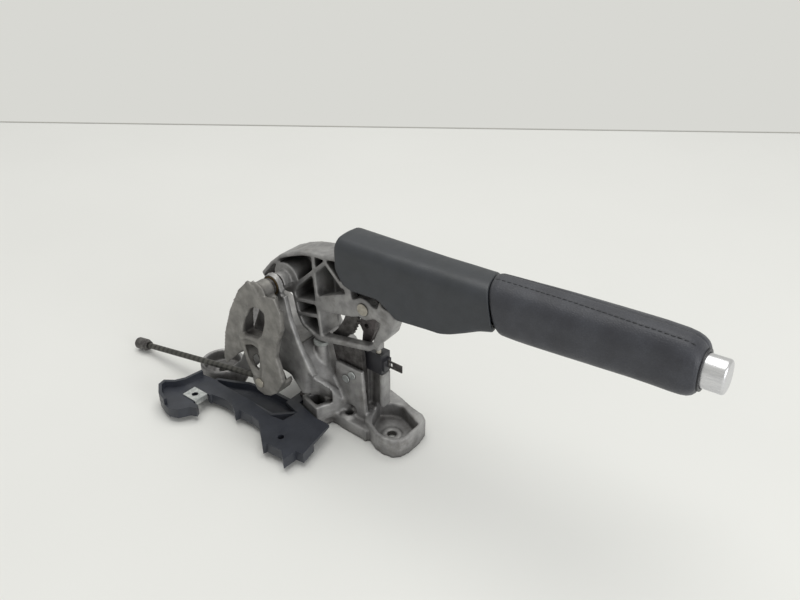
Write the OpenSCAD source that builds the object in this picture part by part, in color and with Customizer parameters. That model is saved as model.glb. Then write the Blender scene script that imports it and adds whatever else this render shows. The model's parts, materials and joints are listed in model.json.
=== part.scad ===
// Parking brake lever: a die-cast bracket with three feet carries a die-cast ribbed lever arm, a ratchet sector
// and a warning switch. The arm carries the pawl, the cable lever with its pull rod, and the leather grip.
// The origin is the front fixing hole at floor level. +X runs along the grip, +Z is up, -Y is the near side.

/* [Main pivot] */
// Distance of the main pivot behind the front fixing hole
pivot_back = 90; // [84:1:96]
// Height of the main pivot over the floor
pivot_high = 113; // [108:1:120]
// Radius of the pivot shaft
shaft_r = 5; // [4:0.5:5.5]
// Radius of the bushes that the shaft turns in
bush_r = 7; // [6.5:0.5:8]
// Radius of the bosses around the bushes
pivot_boss_r = 10; // [9.5:0.5:12]
// Radial gap of a shaft that turns in its bush
run_gap = 0.05; // [0.02:0.01:0.08]
// Gap between pieces that move past each other
part_gap = 0.3; // [0.2:0.05:0.4]

/* [Lever arm] */
// Reach of the lever arm from the pivot to the tip of its hook
arm_reach = 100; // [96:1:104]
// Width of the lever arm casting
arm_wide = 22; // [21:0.5:24]
// Thickness of the far web of the casting
web_thick = 3; // [2:0.5:4]
// Thickness of the ribs of the casting
rib_thick = 3; // [2:0.5:4]
// Width of the slot that the sector and the pawl run in
slot_wide = 7; // [6.5:0.5:8]
// Distance from the main pivot to the pawl pin
pawl_pin_reach = 74; // [72:1:76]
// Radius of the pawl pin
pawl_pin_r = 3.5; // [3:0.5:4]
// Radius of the lugs around the pawl pin
lug_r = 8.5; // [8:0.5:9]

/* [Ratchet] */
// Radius of the sector over its teeth
sector_r = 64; // [62:0.5:65]
// Thickness of the sector and the pawl
plate_thick = 4; // [3:0.5:4.5]
// Angle from one tooth to the next
tooth_pitch = 3; // [3:1:3]
// Depth of the teeth
tooth_deep = 1.6; // [1.4:0.1:1.8]
// Angle that the pawl is drawn lifted by, just clear of the teeth
pawl_rest = 4.4; // [4.2:0.1:4.6]
// Width of the toothed band
band_wide = 11.5; // [9:0.5:12]
// Travel of the lever
lever_travel = 36; // [30:6:36]

/* [Handle] */
// Upward tilt of the handle
grip_tilt = 2.5; // [0:0.5:4]
// Radius of the handle tube
tube_r = 9; // [8:0.5:9.5]
// Wall of the handle tube
tube_wall = 1.5; // [1:0.25:2]
// Length of the grip from the cover to its nose
grip_long = 123; // [116:1:130]
// Height of the grip where it is thickest
grip_high = 34; // [32:1:36]
// Width of the grip where it is thickest
grip_wide = 30; // [28:1:32]
// Thickness of the leather
leather_thick = 1.8; // [1.2:0.2:2.4]
// Height of the push button
button_high = 20; // [18:1:21]
// Width of the push button
button_wide = 16; // [14:1:17]
// How far the push button stands out of the grip
button_proud = 13; // [11:1:15]
// Travel of the push button
button_travel = 6; // [5:0.5:7]
// Radius of the release rod
release_r = 2.5; // [2:0.25:3]

/* [Cover] */
// Length of the plastic cover behind the grip
cover_long = 116; // [112:1:116]
// Width of the cover at its rear
cover_wide = 38; // [36:1:42]
// Height from the pivot to the top of the cover
cover_top = 50; // [48:1:52]
// Wall of the cover
cover_wall = 2.5; // [2:0.25:3]

/* [Cable lever] */
// Distance from the main pivot down to the cable pin
cable_drop = 78.5; // [74:0.5:82]
// Distance of the middle of the cable fork from the middle of the handle
cable_out = 36; // [35.5:0.5:38]
// Width of the cable lever
cable_lever_wide = 13.4; // [13.2:0.2:14]
// Wall of the cable lever casting
cable_lever_wall = 3; // [2.5:0.25:3]
// Radius of the cable pin
cable_pin_r = 3; // [2.5:0.25:3.5]
// Length of the pull rod from its pin to its tip
rod_long = 160; // [150:1:170]
// Radius of the pull rod
rod_r = 2.4; // [2:0.1:3]
// Outward turn of the pull rod in plan
rod_yaw = 2.2; // [1.6:0.2:2.4]
// Radius of the nut at the end of the pull rod
rod_nut_r = 5; // [4:0.5:5.5]
// Length of that nut
rod_nut_long = 11; // [9:1:13]

/* [Bracket] */
// Wall of the bracket casting
cast_wall = 4; // [3.5:0.25:5]
// Distance from the middle of the handle to the outer face of the near cheek
near_out = 26; // [25:0.5:27]
// Distance from the middle of the handle to the outer face of the far cheek
far_out = 24; // [23:0.5:26]
// Radius of the fixing holes
bolt_r = 3.5; // [3:0.25:4.5]
// Height of the front foot
foot_high = 16; // [14:1:18]
// Thickness of the floor of the feet
foot_floor = 4; // [3:0.5:5]
// Radius of the rear foot
rear_foot_r = 18; // [16:0.5:18.5]
// Height of the rear foot
rear_foot_high = 14; // [12:1:15]

/* [Console bracket] */
// Length of the plastic console bracket
console_long = 150; // [144:1:156]
// Wall of the plastic console bracket
console_wall = 2.5; // [2:0.25:3]
// Height of the shelf of the console bracket over the floor
shelf_high = 13; // [12:0.5:15]

/* [Hidden] */
$fn = 40;
over = 1;
cast_grey = "#85858a";
steel_dark = "#4a4a4c";
plastic_dark = "#34383f";
bright = "#c8c8ca";

function scaled(table, sx, sy) = [for (p = table) [p[0] * sx, p[1] * sy]];
function polar(r, a) = [r * cos(a), r * sin(a)];
function flat(list) = [for (part = list) for (item = part) item];

// A profile drawn in X and Z, from y0 to y1
module side(y0, y1) {
    translate([0, y1, 0]) rotate([90, 0, 0]) linear_extrude(y1 - y0) children();
}

// A profile drawn in Y and Z, from x0 to x1
module along(x0, x1) {
    translate([x0, 0, 0]) rotate([90, 0, 90]) linear_extrude(x1 - x0) children();
}

module pin_y(r, y0, y1) {
    translate([0, y1, 0]) rotate([90, 0, 0]) cylinder(r = r, h = y1 - y0);
}

module pin_x(r, x0, x1) {
    translate([x0, 0, 0]) rotate([0, 90, 0]) cylinder(r = r, h = x1 - x0);
}

module ring_y(r, hole_r, y0, y1) {
    difference() {
        pin_y(r, y0, y1);
        pin_y(hole_r, y0 - over, y1 + over);
    }
}

module ring_x(r, hole_r, x0, x1) {
    difference() {
        pin_x(r, x0, x1);
        pin_x(hole_r, x0 - over, x1 + over);
    }
}

// A straight bar of one width between two points of a profile
module bar(a, b, w) {
    d = b - a;
    translate(a) rotate(atan2(d[1], d[0])) translate([0, -w / 2]) square([norm(d), w]);
}

// A strip of one width along a line of points, with mitred corners
function unit(v) = v / norm(v);
function left_of(v) = unit([-v[1], v[0]]);
function mitre(a, b, c, half) =
    let (u = left_of(b - a), m = unit(u + left_of(c - b)))
    b + m * half / (m * u);
function edge_line(points, half) =
    let (last = len(points) - 1)
    [for (i = [0 : last])
        i == 0 ? points[0] + left_of(points[1] - points[0]) * half
        : i == last ? points[i] + left_of(points[i] - points[i - 1]) * half
        : mitre(points[i - 1], points[i], points[i + 1], half)];

module ribbon(points, w) {
    back = edge_line(points, -w / 2);
    polygon(concat(edge_line(points, w / 2), [for (i = [len(back) - 1 : -1 : 0]) back[i]]));
}

// A solid through rings of points, each ring with the same number of points
module loft(rings) {
    n = len(rings[0]);
    m = len(rings);
    polyhedron(
        points = flat(rings),
        faces = concat(
            [[for (i = [n - 1 : -1 : 0]) i]],
            [for (k = [0 : m - 2]) for (i = [0 : n - 1]) [k * n + i, k * n + (i + 1) % n, (k + 1) * n + (i + 1) % n]],
            [for (k = [0 : m - 2]) for (i = [0 : n - 1]) [k * n + i, (k + 1) * n + (i + 1) % n, (k + 1) * n + i]],
            [[for (i = [0 : n - 1]) (m - 1) * n + i]]));
}

// A ring of a rounded box across X, by its half width, half height and squareness
function oval(x, z, half_w, half_h, square_share, n) =
    [for (i = [0 : n - 1])
        let (a = -360 * i / n, p = 2 / (2 + square_share),
            c = cos(a), s = sin(a))
        [x, half_w * sign(c) * pow(abs(c), p), z + half_h * sign(s) * pow(abs(s), p)]];

module at_pivot() {
    translate([-pivot_back, 0, pivot_high]) children();
}

// Main pivot and the layers of the mechanism across the handle
arm_half = arm_wide / 2;
slot_half = slot_wide / 2;
plate_half = plate_thick / 2;
far_web_y = arm_half - web_thick;
rib_cut = arm_half - slot_half;
near_in = near_out - cast_wall - over;
far_in = far_out - cast_wall - over;

// Pawl pin, mesh point and handle, from the main pivot
pawl_pin_at = [pawl_pin_reach, 0.005 * arm_reach];
mesh_angle = -17;
mesh_at = polar(sector_r, mesh_angle);
pawl_arm = norm(mesh_at - pawl_pin_at);
handle_at = [0.8 * arm_reach, 0.34 * arm_reach];

module at_handle() {
    at_pivot() translate([handle_at[0], 0, handle_at[1]]) rotate([0, -grip_tilt, 0]) children();
}

// Lever arm casting, in shares of its reach from the pivot
roof_top_shares = [[-0.26, -0.04], [-0.155, 0.08], [-0.045, 0.175], [0.06, 0.225], [0.18, 0.27], [0.28, 0.29],
    [0.38, 0.30], [0.49, 0.33], [0.60, 0.41], [0.80, 0.455], [1.0, 0.46]];
roof_under_shares = [[1.0, 0.425], [0.80, 0.42], [0.615, 0.375], [0.505, 0.295], [0.38, 0.27], [0.28, 0.26],
    [0.19, 0.24], [0.07, 0.195], [-0.035, 0.145], [-0.135, 0.055], [-0.225, -0.055], [-0.205, -0.11],
    [-0.235, -0.075]];
far_web_shares = [[-0.205, -0.11], [-0.26, -0.04], [-0.155, 0.08], [-0.045, 0.175], [0.06, 0.225], [0.18, 0.27],
    [0.28, 0.29], [0.38, 0.30], [0.49, 0.33], [0.60, 0.41], [0.80, 0.455], [1.0, 0.46], [1.0, 0.23], [0.74, 0.20],
    [0.66, 0.12], [0.66, -0.08], [0.62, -0.14], [0.34, -0.19], [0.335, -0.38], [0.26, -0.41], [0.14, -0.36],
    [0.09, -0.24], [0.05, -0.12], [-0.10, -0.12]];
near_plate_shares = [[0.31, -0.05], [0.575, 0.065], [0.56, 0.125], [0.52, 0.20], [0.49, 0.32], [0.60, 0.40],
    [1.0, 0.45], [1.0, 0.23], [0.74, 0.20], [0.62, 0.147], [0.635, 0.04], [0.70, 0.08], [0.70, -0.07],
    [0.63, -0.10], [0.325, -0.165]];
hook_shares = [[0.78, 0.06], [0.858, 0.048], [0.885, 0.12], [0.90, 0.082], [0.973, 0.068], [1.02, 0.028],
    [0.967, -0.132], [0.83, -0.29], [0.778, -0.329], [0.29, -0.438], [0.26, -0.435], [0.265, -0.39],
    [0.42, -0.362], [0.77, -0.287], [0.81, -0.256], [0.89, -0.055], [0.84, -0.04], [0.76, -0.075]];
upright_shares = [[0.285, 0.27], [0.285, 0.12], [0.30, -0.10], [0.32, -0.38]];
stay_shares = [[[0.07, -0.056], [0.40, 0.253]], [[0.40, 0.253], [0.556, 0.105]],
    [[0.094, -0.153], [0.30, -0.115]], [[0.109, -0.269], [0.31, -0.22]], [[0.40, 0.253], [0.40, 0.29]]];
hub_rim_shares = [[0.06, -0.05], [0.07, -0.12], [0.085, -0.20], [0.10, -0.28], [0.14, -0.355], [0.27, -0.41]];
slot_shares = [[-0.055, 0.005], [0.005, -0.035]];
hub_half = near_in - part_gap - over;
hub_r = 0.12 * arm_reach;
sling_x = 0.86 * arm_reach;

// The deep ribs stop short of the toothed band of the sector
module deep_rib_zone() {
    circle(r = sector_r - band_wide - 3 * part_gap);
}

module arm_body() {
    at_pivot() {
        side(-arm_half, arm_half)
            polygon(scaled(concat(roof_top_shares, roof_under_shares), arm_reach, arm_reach));
        side(far_web_y, arm_half) polygon(scaled(far_web_shares, arm_reach, arm_reach));
        side(-arm_half, -slot_half) {
            polygon(scaled(near_plate_shares, arm_reach, arm_reach));
            polygon(scaled(hook_shares, arm_reach, arm_reach));
            translate(pawl_pin_at) circle(r = lug_r);
            ribbon(scaled(upright_shares, arm_reach, arm_reach), rib_thick);
            for (s = stay_shares) ribbon(scaled(s, arm_reach, arm_reach), rib_thick);
        }
        side(-arm_half, far_web_y + over / 2) intersection() {
            deep_rib_zone();
            union() {
                ribbon(scaled(upright_shares, arm_reach, arm_reach), rib_thick);
                for (s = stay_shares) ribbon(scaled(s, arm_reach, arm_reach), rib_thick);
                ribbon(scaled(hub_rim_shares, arm_reach, arm_reach), rib_thick);
            }
        }
        // Far lug, hook leg across both walls, tang walls and the tab that works the switch
        side(slot_half, arm_half) {
            translate(pawl_pin_at) circle(r = lug_r);
            translate(pawl_pin_at) bar([-1.2 * lug_r, 0], [0, 0], 1.7 * lug_r);
            polygon([pawl_pin_at, [sling_x, pawl_pin_at[1] - lug_r / 2], [sling_x, pawl_pin_at[1] + lug_r / 2]]);
            tab_outline();
        }
        side(slot_half, arm_half) polygon(scaled([[0.6, 0.2], [1.0, 0.23], [1.0, 0.46], [0.6, 0.41]],
            arm_reach, arm_reach));
        side(-arm_half, arm_half) intersection() {
            polygon(scaled(hook_shares, arm_reach, arm_reach));
            translate([sling_x, -arm_reach]) square([arm_reach, 2 * arm_reach]);
        }
        pin_y(hub_r, -arm_half, arm_half);
        pin_y(pivot_boss_r - over, -hub_half, hub_half - (near_in - far_in));
    }
    at_handle() pin_x(socket_r, socket_x0, socket_x1);
}

// The arm ends in a socket that the handle tube is pressed into
socket_r = tube_r + rib_thick;
socket_x0 = 0.17 * arm_reach;
socket_x1 = 0.45 * arm_reach;
tab_x = pawl_pin_at[0] - 0.035 * arm_reach;
tab_low = -0.42 * arm_reach;

module tab_outline() {
    translate([tab_x, tab_low]) square([0.045 * arm_reach, pawl_pin_at[1] - tab_low]);
}

module lever_arm() {
    color(cast_grey) difference() {
        arm_body();
        at_pivot() {
            pin_y(shaft_r, -near_out, near_out);
            translate([pawl_pin_at[0], 0, pawl_pin_at[1]]) pin_y(pawl_pin_r, -arm_wide, arm_wide);
            side(far_web_y - over, arm_half + over)
                ribbon(scaled(slot_shares, arm_reach, arm_reach), rib_thick / 2);
            translate([cover_peg_at[0], 0, cover_peg_at[1]]) pin_y(cover_peg_r, -arm_wide, arm_wide);
        }
        at_handle() {
            pin_x(tube_r, socket_x0 + rib_thick, socket_x1 + over);
            pin_x(tube_r - tube_wall, -arm_reach, socket_x1);
            // The slot runs on through the tang so that the pawl and the release rod can move
            translate([-handle_at[0] + roof_slot_x, -slot_half + over / 8, -socket_r - over])
                cube([handle_at[0] - roof_slot_x + socket_x0 + over / 2, slot_wide - over / 4, socket_r + over + slot_half]);
        }
    }
}
roof_slot_x = 0.62 * arm_reach;

// Pegs that the cover is held by, blind in its walls
cover_peg_r = 2;
cover_peg_at = [0.69 * arm_reach, 0.30 * arm_reach];
cover_peg_y = cover_wide / 2 - over;
cover_peg_far = 0.74 * cover_wide / 2 - over / 2;

module cover_pegs() {
    color(steel_dark) at_pivot() translate([cover_peg_at[0], 0, cover_peg_at[1]]) {
        pin_y(cover_peg_r, slot_half + over / 2, cover_peg_far);
        pin_y(cover_peg_r, -cover_peg_y, -slot_half - over / 2);
    }
}

// Pivot shaft, pressed into the arm and the cable lever, and the bushes in the bracket
shaft_y0 = -cable_out - cable_lever_wide / 2 + cable_lever_wall;
shaft_y1 = far_out + 3 * over;
groove_deep = 0.8;
clip_thick = 1.2;
clip_y = far_out + over + part_gap;

module pivot_shaft() {
    color(steel_dark) at_pivot() difference() {
        pin_y(shaft_r, shaft_y0, shaft_y1 + over);
        ring_y(shaft_r + over, shaft_r - groove_deep, clip_y, clip_y + clip_thick);
    }
}

module shaft_clip() {
    color(bright) at_pivot() difference() {
        ring_y(1.6 * shaft_r, shaft_r - groove_deep, clip_y, clip_y + clip_thick);
        side(clip_y - over, clip_y + clip_thick + over)
            translate([-shaft_r / 2, -2 * shaft_r]) square([shaft_r, 2 * shaft_r]);
    }
}

module pivot_bushes() {
    color("#6b5a3c") at_pivot() {
        ring_y(bush_r, shaft_r + run_gap, -near_out, -near_in + over / 2);
        ring_y(bush_r, shaft_r + run_gap, far_in - over / 2, far_out);
    }
}

sleeve_r = shaft_r + 1.2;
sleeve_y0 = -cable_out + cable_lever_wide / 2;
module pivot_sleeve() {
    color("#4b4652") at_pivot() ring_y(sleeve_r, shaft_r, sleeve_y0, -near_out - part_gap);
}

// Ratchet sector: the teeth lean so that the pawl can swing out past them
teeth_low = -10;
teeth_high = lever_travel / tooth_pitch + 1;
sector_foot_shares = [[0.98, -0.66], [1.0, -0.74], [1.03, -1.24], [0.82, -1.23], [0.66, -1.04], [0.60, -0.95],
    [0.55, -0.72], [0.62, -0.62]];
rise_shares = [0.16, 0.62, 0.72];
rivet_r = 2;
rivet_shares = [[0.80, -1.11], [0.895, -1.025]];
rivet_at = scaled(rivet_shares, sector_r, sector_r);

function tooth_row(a) = [polar(sector_r - tooth_deep, a), polar(sector_r - tooth_deep, a + rise_shares[0] * tooth_pitch),
    polar(sector_r, a + rise_shares[1] * tooth_pitch), polar(sector_r, a + rise_shares[2] * tooth_pitch)];

module sector_band() {
    a0 = mesh_angle + teeth_low * tooth_pitch;
    a1 = mesh_angle + teeth_high * tooth_pitch;
    inner_r = sector_r - band_wide;
    polygon(concat(
        flat([for (k = [teeth_low / 2 : teeth_high - 1]) tooth_row(mesh_angle + k * tooth_pitch)]),
        [polar(sector_r - tooth_deep, a1)],
        [for (a = [a1 : -tooth_pitch : a0]) polar(inner_r, a)],
        [polar(sector_r - tooth_deep, a0)]));
}

module ratchet_sector() {
    color(steel_dark) at_pivot() difference() {
        union() {
            side(-plate_half, plate_half) sector_band();
            side(-plate_half, plate_half) polygon(scaled(sector_foot_shares, sector_r, sector_r));
        }
        for (p = rivet_at) translate([p[0], 0, p[1]]) pin_y(rivet_r, -arm_wide, arm_wide);
    }
}

module sector_rivets() {
    color(bright) at_pivot() for (p = rivet_at) translate([p[0], 0, p[1]]) {
        pin_y(rivet_r, -plate_half - cast_wall, plate_half);
        pin_y(1.6 * rivet_r, -plate_half - cast_wall - rivet_r / 2, -plate_half - cast_wall);
        pin_y(1.6 * rivet_r, plate_half, plate_half + rivet_r / 2);
    }
}

// Pawl, in shares of the distance from its pin to the mesh, with +X towards the mesh
pawl_hub_r = 6.2;
pawl_body_shares = [[-0.10, 0.26], [0.28, 0.02], [0.66, -0.10], [0.97, -0.05], [1.15, 0.24], [1.50, 0.38], [1.62, 0.52],
    [1.52, 0.62], [1.24, 0.62], [0.80, 0.56], [0.30, 0.36]];
pawl_eye_at = [handle_at[0] - 0.015 * arm_reach - pawl_pin_at[0], handle_at[1] - pawl_pin_at[1]];
tooth_clear = 0.2;
pawl_hole_share = 0.85;

module pawl_tooth() {
    reach = 3;
    lean = (1 - rise_shares[2]) * tooth_pitch / tooth_deep;
    low = sector_r - tooth_deep + tooth_clear;
    low_a = mesh_angle + 0.045 * tooth_pitch;
    high_a = mesh_angle + 0.125 * tooth_pitch;
    polygon([polar(low, low_a), polar(low, high_a),
        polar(sector_r + reach, high_a + 0.85 * tooth_pitch),
        polar(sector_r + reach, low_a - lean * (tooth_deep + reach - tooth_clear))]);
}

pawl_turn = atan2(mesh_at[1] - pawl_pin_at[1], mesh_at[0] - pawl_pin_at[0]);
eye_slot_shares = [0.936, 1.064];

// Turns what meshes with the teeth up to where it is drawn at rest
module lifted() {
    translate(pawl_pin_at) rotate(pawl_rest) translate(-pawl_pin_at) children();
}

module pawl() {
    color("#4a4446") at_pivot() difference() {
        union() {
            side(-plate_half, plate_half) translate(pawl_pin_at) circle(r = pawl_hub_r);
            side(-plate_half, plate_half) lifted() difference() {
                translate(pawl_pin_at) rotate(pawl_turn) polygon(scaled(pawl_body_shares, pawl_arm, pawl_arm));
                circle(r = sector_r + part_gap);
            }
            side(-plate_half, plate_half) lifted() pawl_tooth();
            side(-plate_half, plate_half) translate(pawl_pin_at) ribbon([[0, 0], pawl_eye_at], 2 * release_r + rib_thick / 2);
            side(-plate_half, plate_half) translate(pawl_pin_at + pawl_eye_at) circle(r = release_r + rib_thick / 2);
        }
        translate([pawl_pin_at[0], 0, pawl_pin_at[1]]) {
            pin_y(pawl_pin_r + run_gap, -arm_wide, arm_wide);
            side(-arm_wide, arm_wide) ribbon([pawl_eye_at * eye_slot_shares[0], pawl_eye_at * eye_slot_shares[1]],
                release_r + 2 * part_gap);
            rotate([0, -pawl_turn - pawl_rest, 0]) translate([pawl_arm * pawl_hole_share, 0, pawl_arm * 0.24])
                pin_y(rivet_r, -arm_wide, arm_wide);
        }
    }
}

module pawl_pin() {
    color("#a3a598") at_pivot() translate([pawl_pin_at[0], 0, pawl_pin_at[1]]) {
        pin_y(pawl_pin_r, -arm_half, arm_half + 2 * over);
        pin_y(1.3 * pawl_pin_r, -arm_half - over, -arm_half);
    }
}

module pawl_pin_clip() {
    color(bright) at_pivot() translate([pawl_pin_at[0], 0, pawl_pin_at[1]])
        ring_y(1.6 * pawl_pin_r, pawl_pin_r, arm_half, arm_half + over);
}

// Handle: tube, core, leather, nose ring and button, along the handle from its own origin
grip_x0 = 0.945 * arm_reach;
grip_x1 = grip_x0 + grip_long;
tube_x1 = grip_x1 - 0.14 * grip_long;
guide_wall = 1.2;
// Station along the grip, then its height and width there
grip_shares = [[0, 0.84, 0.86], [0.06, 0.90, 0.92], [0.18, 0.97, 0.99], [0.34, 1, 1], [0.52, 0.98, 0.985],
    [0.70, 0.92, 0.95], [0.84, 0.875, 0.91], [0.93, 0.84, 0.88], [0.97, 0.79, 0.83], [0.99, 0.71, 0.76],
    [1, 0.63, 0.69]];
grip_square = 0.7;

function grip_rings(skin, n) = [for (s = grip_shares)
    oval(grip_x0 + s[0] * grip_long, 0, s[2] * grip_wide / 2 - skin, s[1] * grip_high / 2 - skin, grip_square, n)];

module grip_solid(skin) {
    loft(grip_rings(skin, 28));
}

module handle_tube() {
    color(steel_dark) at_handle() ring_x(tube_r, tube_r - tube_wall, socket_x0 + rib_thick, tube_x1);
}

nose_long = 0.10 * grip_long;
button_x1 = grip_x1 + button_proud;
button_x0 = tube_x1 + guide_wall + 2 * over + button_travel;

module button_section(grow) {
    hull_r = button_wide / 2 + grow;
    half = (button_high - button_wide) / 2;
    translate([0, half]) circle(r = hull_r);
    translate([0, -half]) circle(r = hull_r);
    translate([-hull_r, -half]) square([2 * hull_r, 2 * half]);
}

module grip_core() {
    color("#2c2d30") at_handle() difference() {
        grip_solid(leather_thick);
        pin_x(tube_r, grip_x0 - over, grip_x1 + over);
        along(tube_x1, grip_x1 + over) button_section(guide_wall + 2 * part_gap);
    }
}

module grip_sleeve() {
    color("#3a3c44") at_handle() difference() {
        grip_solid(0);
        grip_solid(leather_thick);
        along(grip_x0 - over, grip_x0 + over) square(0.75 * grip_high, center = true);
        along(grip_x1 - nose_long / 2, grip_x1 + over) button_section(guide_wall + 2 * part_gap);
    }
}

module button_guide() {
    color("#25262a") at_handle() difference() {
        along(tube_x1 + part_gap, grip_x1) button_section(guide_wall + part_gap);
        along(tube_x1 + guide_wall + over, grip_x1 + over) button_section(part_gap);
        pin_x(release_r + part_gap, tube_x1 - over, grip_x1);
    }
}

module nose_ring() {
    color("#2a2b2f") at_handle() difference() {
        along(grip_x1, grip_x1 + over) button_section(guide_wall + over);
        along(grip_x1 - over, grip_x1 + 2 * over) button_section(part_gap);
    }
}

module push_button() {
    color(bright) at_handle() difference() {
        union() {
            along(button_x0, button_x1 - over) button_section(0);
            along(button_x1 - over, button_x1) button_section(-over);
        }
        pin_x(release_r, button_x0 - over, button_x0 + 4 * release_r);
    }
}

rod_eye_x = pawl_pin_at[0] + pawl_eye_at[0] - handle_at[0];
spring_x0 = 0.62 * tube_x1;
spring_x1 = 0.80 * tube_x1;
spring_r = 0.72 * (tube_r - tube_wall);
spring_wire_r = 0.7;
collar_r = tube_r - tube_wall - 2 * part_gap;

module release_rod() {
    color(bright) at_handle() difference() {
        union() {
            pin_x(release_r, rod_eye_x + 3 * release_r, button_x0 + 4 * release_r);
            pin_x(collar_r, spring_x1, spring_x1 + rib_thick);
            for (s = [-1, 1]) fork_cheek(s);
            pin_x(slot_half - part_gap, rod_eye_x + 2.2 * release_r, rod_eye_x + 4 * release_r);
        }
        translate([rod_eye_x, 0, 0]) pin_y(release_r / 2, -arm_wide, arm_wide);
    }
}

fork_thick = slot_half - part_gap - plate_half - part_gap / 2;
module fork_cheek(s) {
    y0 = plate_half + part_gap / 2;
    mirror([0, s < 0 ? 1 : 0, 0]) side(y0, y0 + fork_thick)
        union() {
            ribbon([[rod_eye_x, 0], [rod_eye_x + 3 * release_r, 0]], 2 * release_r);
            translate([rod_eye_x, 0]) circle(r = 1.2 * release_r);
        }
}

module rod_link_pin() {
    color(bright) at_handle() translate([rod_eye_x, 0, 0])
        pin_y(release_r / 2, -slot_half + part_gap, slot_half - part_gap);
}

spring_turns = 7;
module button_spring() {
    steps = 12;
    n = spring_turns * steps;
    travel = spring_x1 - spring_x0 - 2 * spring_wire_r - part_gap;
    color(bright) at_handle() loft([for (i = [0 : n])
        let (a = 360 * i / steps, x = spring_x0 + spring_wire_r + travel * i / n)
        [for (k = [0 : 5]) let (b = 60 * k, r = spring_r + spring_wire_r * cos(b))
            [x + spring_wire_r * sin(b), r * cos(a), r * sin(a)]]]);
}

// Cover behind the grip: its side outline from the pivot, in shares of its length and of its top height
cover_x0 = 0.565 * arm_reach;
cover_shares = [[0, 0.98], [0, 0.60], [0.05, 0.39], [0.11, 0.34], [0.30, 0.37], [0.385, 0.245], [0.43, 0.165],
    [0.55, 0.17], [0.69, 0.205], [0.74, 0.25], [0.84, 0.39], [0.92, 0.515], [1, 0.59], [1, 1.025], [0.5, 1.01],
    [0.03, 1.0]];
cover_corner = 6;
far_side_share = 0.80;

module cover_outline() {
    translate([cover_x0, 0]) polygon(scaled(cover_shares, cover_long, cover_top));
}

// Section of the cover across its length: the far side stands nearer the arm and has the larger round
module cover_section(w) {
    near = w / 2;
    far = w / 2 - (1 - far_side_share) * cover_wide / 2;
    r = cover_corner;
    far_r = 1.4 * cover_corner;
    top = 1.025 * cover_top;
    translate([-near, -cover_top]) square([near + far, cover_top + top - far_r]);
    translate([-near, 0]) square([near, top - r]);
    translate([-near + r, 0]) square([near + far - r - far_r, top]);
    translate([-near + r, top - r]) circle(r = r);
    translate([far - far_r, top - far_r]) circle(r = far_r);
}

// Plan of the cover: narrowing towards the grip, its far side drawn in at the rear
cover_plan_shares = [[0, -1], [0.45, -1], [0.80, -0.90], [1, -0.74], [1, 0.82], [0.42, 0.82], [0.30, 0.77],
    [0, 0.74]];

module cover_solid(wall) {
    grow = wall > 0 ? over : 0;
    intersection() {
        side(-cover_wide, cover_wide) offset(delta = -wall) cover_outline();
        along(cover_x0 - over, cover_x0 + cover_long + over) cover_section(cover_wide - 2 * wall);
        translate([cover_x0, 0, -cover_top]) linear_extrude(3 * cover_top)
            polygon(scaled(cover_plan_shares, cover_long, cover_wide / 2 - wall));
    }
}

module shroud_cover() {
    color(plastic_dark) at_pivot() difference() {
        cover_solid(0);
        cover_solid(cover_wall);
        // Open at the rear, and below as far as the arm needs
        side(-cover_wide / 2 + cover_wall, 0.72 * (cover_wide / 2 - cover_wall)) polygon([
            [cover_x0 - over, 0], [cover_x0 - over, 0.92 * cover_top], [cover_x0 + 2 * cover_wall, 0.92 * cover_top],
            [cover_x0 + 0.36 * cover_long, 0.5 * cover_top], [cover_x0 + 0.36 * cover_long, 0]]);
        translate([cover_peg_at[0], 0, cover_peg_at[1]]) pin_y(cover_peg_r, -cover_peg_y, cover_peg_far);
        translate([handle_at[0], 0, handle_at[1]]) rotate([0, -grip_tilt, 0])
            pin_x(tube_r, socket_x1, grip_x0 + tube_r);
    }
}

// Cable lever: a dished casting outboard of the near cheek, in shares of its drop
ear_shares = [[0.05, 0], [0.255, 0.04], [0.315, -0.09], [0.312, -0.275], [0.242, -0.433], [0.204, -0.61],
    [0.242, -0.734], [0.268, -0.874], [0.19, -1.02], [0.09, -1.10], [0, -1.13], [-0.10, -1.11], [-0.146, -1.02],
    [-0.127, -0.917], [-0.20, -0.80], [-0.26, -0.66], [-0.287, -0.535], [-0.268, -0.33], [-0.204, -0.127],
    [-0.115, 0.025], [-0.05, 0.09], [0, 0.08]];
ear_window_shares = [[-0.025, -0.14], [0.05, -0.134], [0.127, -0.166], [0.121, -0.38], [0.076, -0.446],
    [-0.05, -0.484], [-0.21, -0.50], [-0.204, -0.408], [-0.166, -0.30], [-0.10, -0.19]];
ear_low_window_shares = [[-0.235, -0.64], [-0.10, -0.586], [-0.013, -0.60], [-0.025, -0.764], [-0.05, -0.866],
    [-0.127, -0.84], [-0.19, -0.78]];
skirt_near_shares = [[-0.05, 0.09], [-0.115, 0.025], [-0.204, -0.127], [-0.268, -0.33], [-0.287, -0.535],
    [-0.24, -0.70]];
skirt_far_shares = [[-0.13, 0.05], [-0.21, -0.01], [-0.39, -0.204], [-0.55, -0.51], [-0.656, -0.876],
    [-0.67, -1.02]];
cable_pin_at = [-0.045 * cable_drop, -cable_drop];
rod_fall = asin((pivot_high - cable_drop - rod_nut_r - part_gap) / rod_long);
fork_gap = 2 * rod_r + 2 * part_gap;
ear_y0 = -cable_out - cable_lever_wide / 2;
ear_y1 = -cable_out + cable_lever_wide / 2;
cable_lug_r = 2.7 * cable_pin_r;

module ear_rim() {
    difference() {
        polygon(scaled(ear_shares, cable_drop, cable_drop));
        offset(delta = -cable_lever_wall) polygon(scaled(ear_shares, cable_drop, cable_drop));
    }
}

module ear_windows() {
    polygon(scaled(ear_window_shares, cable_drop, cable_drop));
    polygon(scaled(ear_low_window_shares, cable_drop, cable_drop));
}

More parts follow.
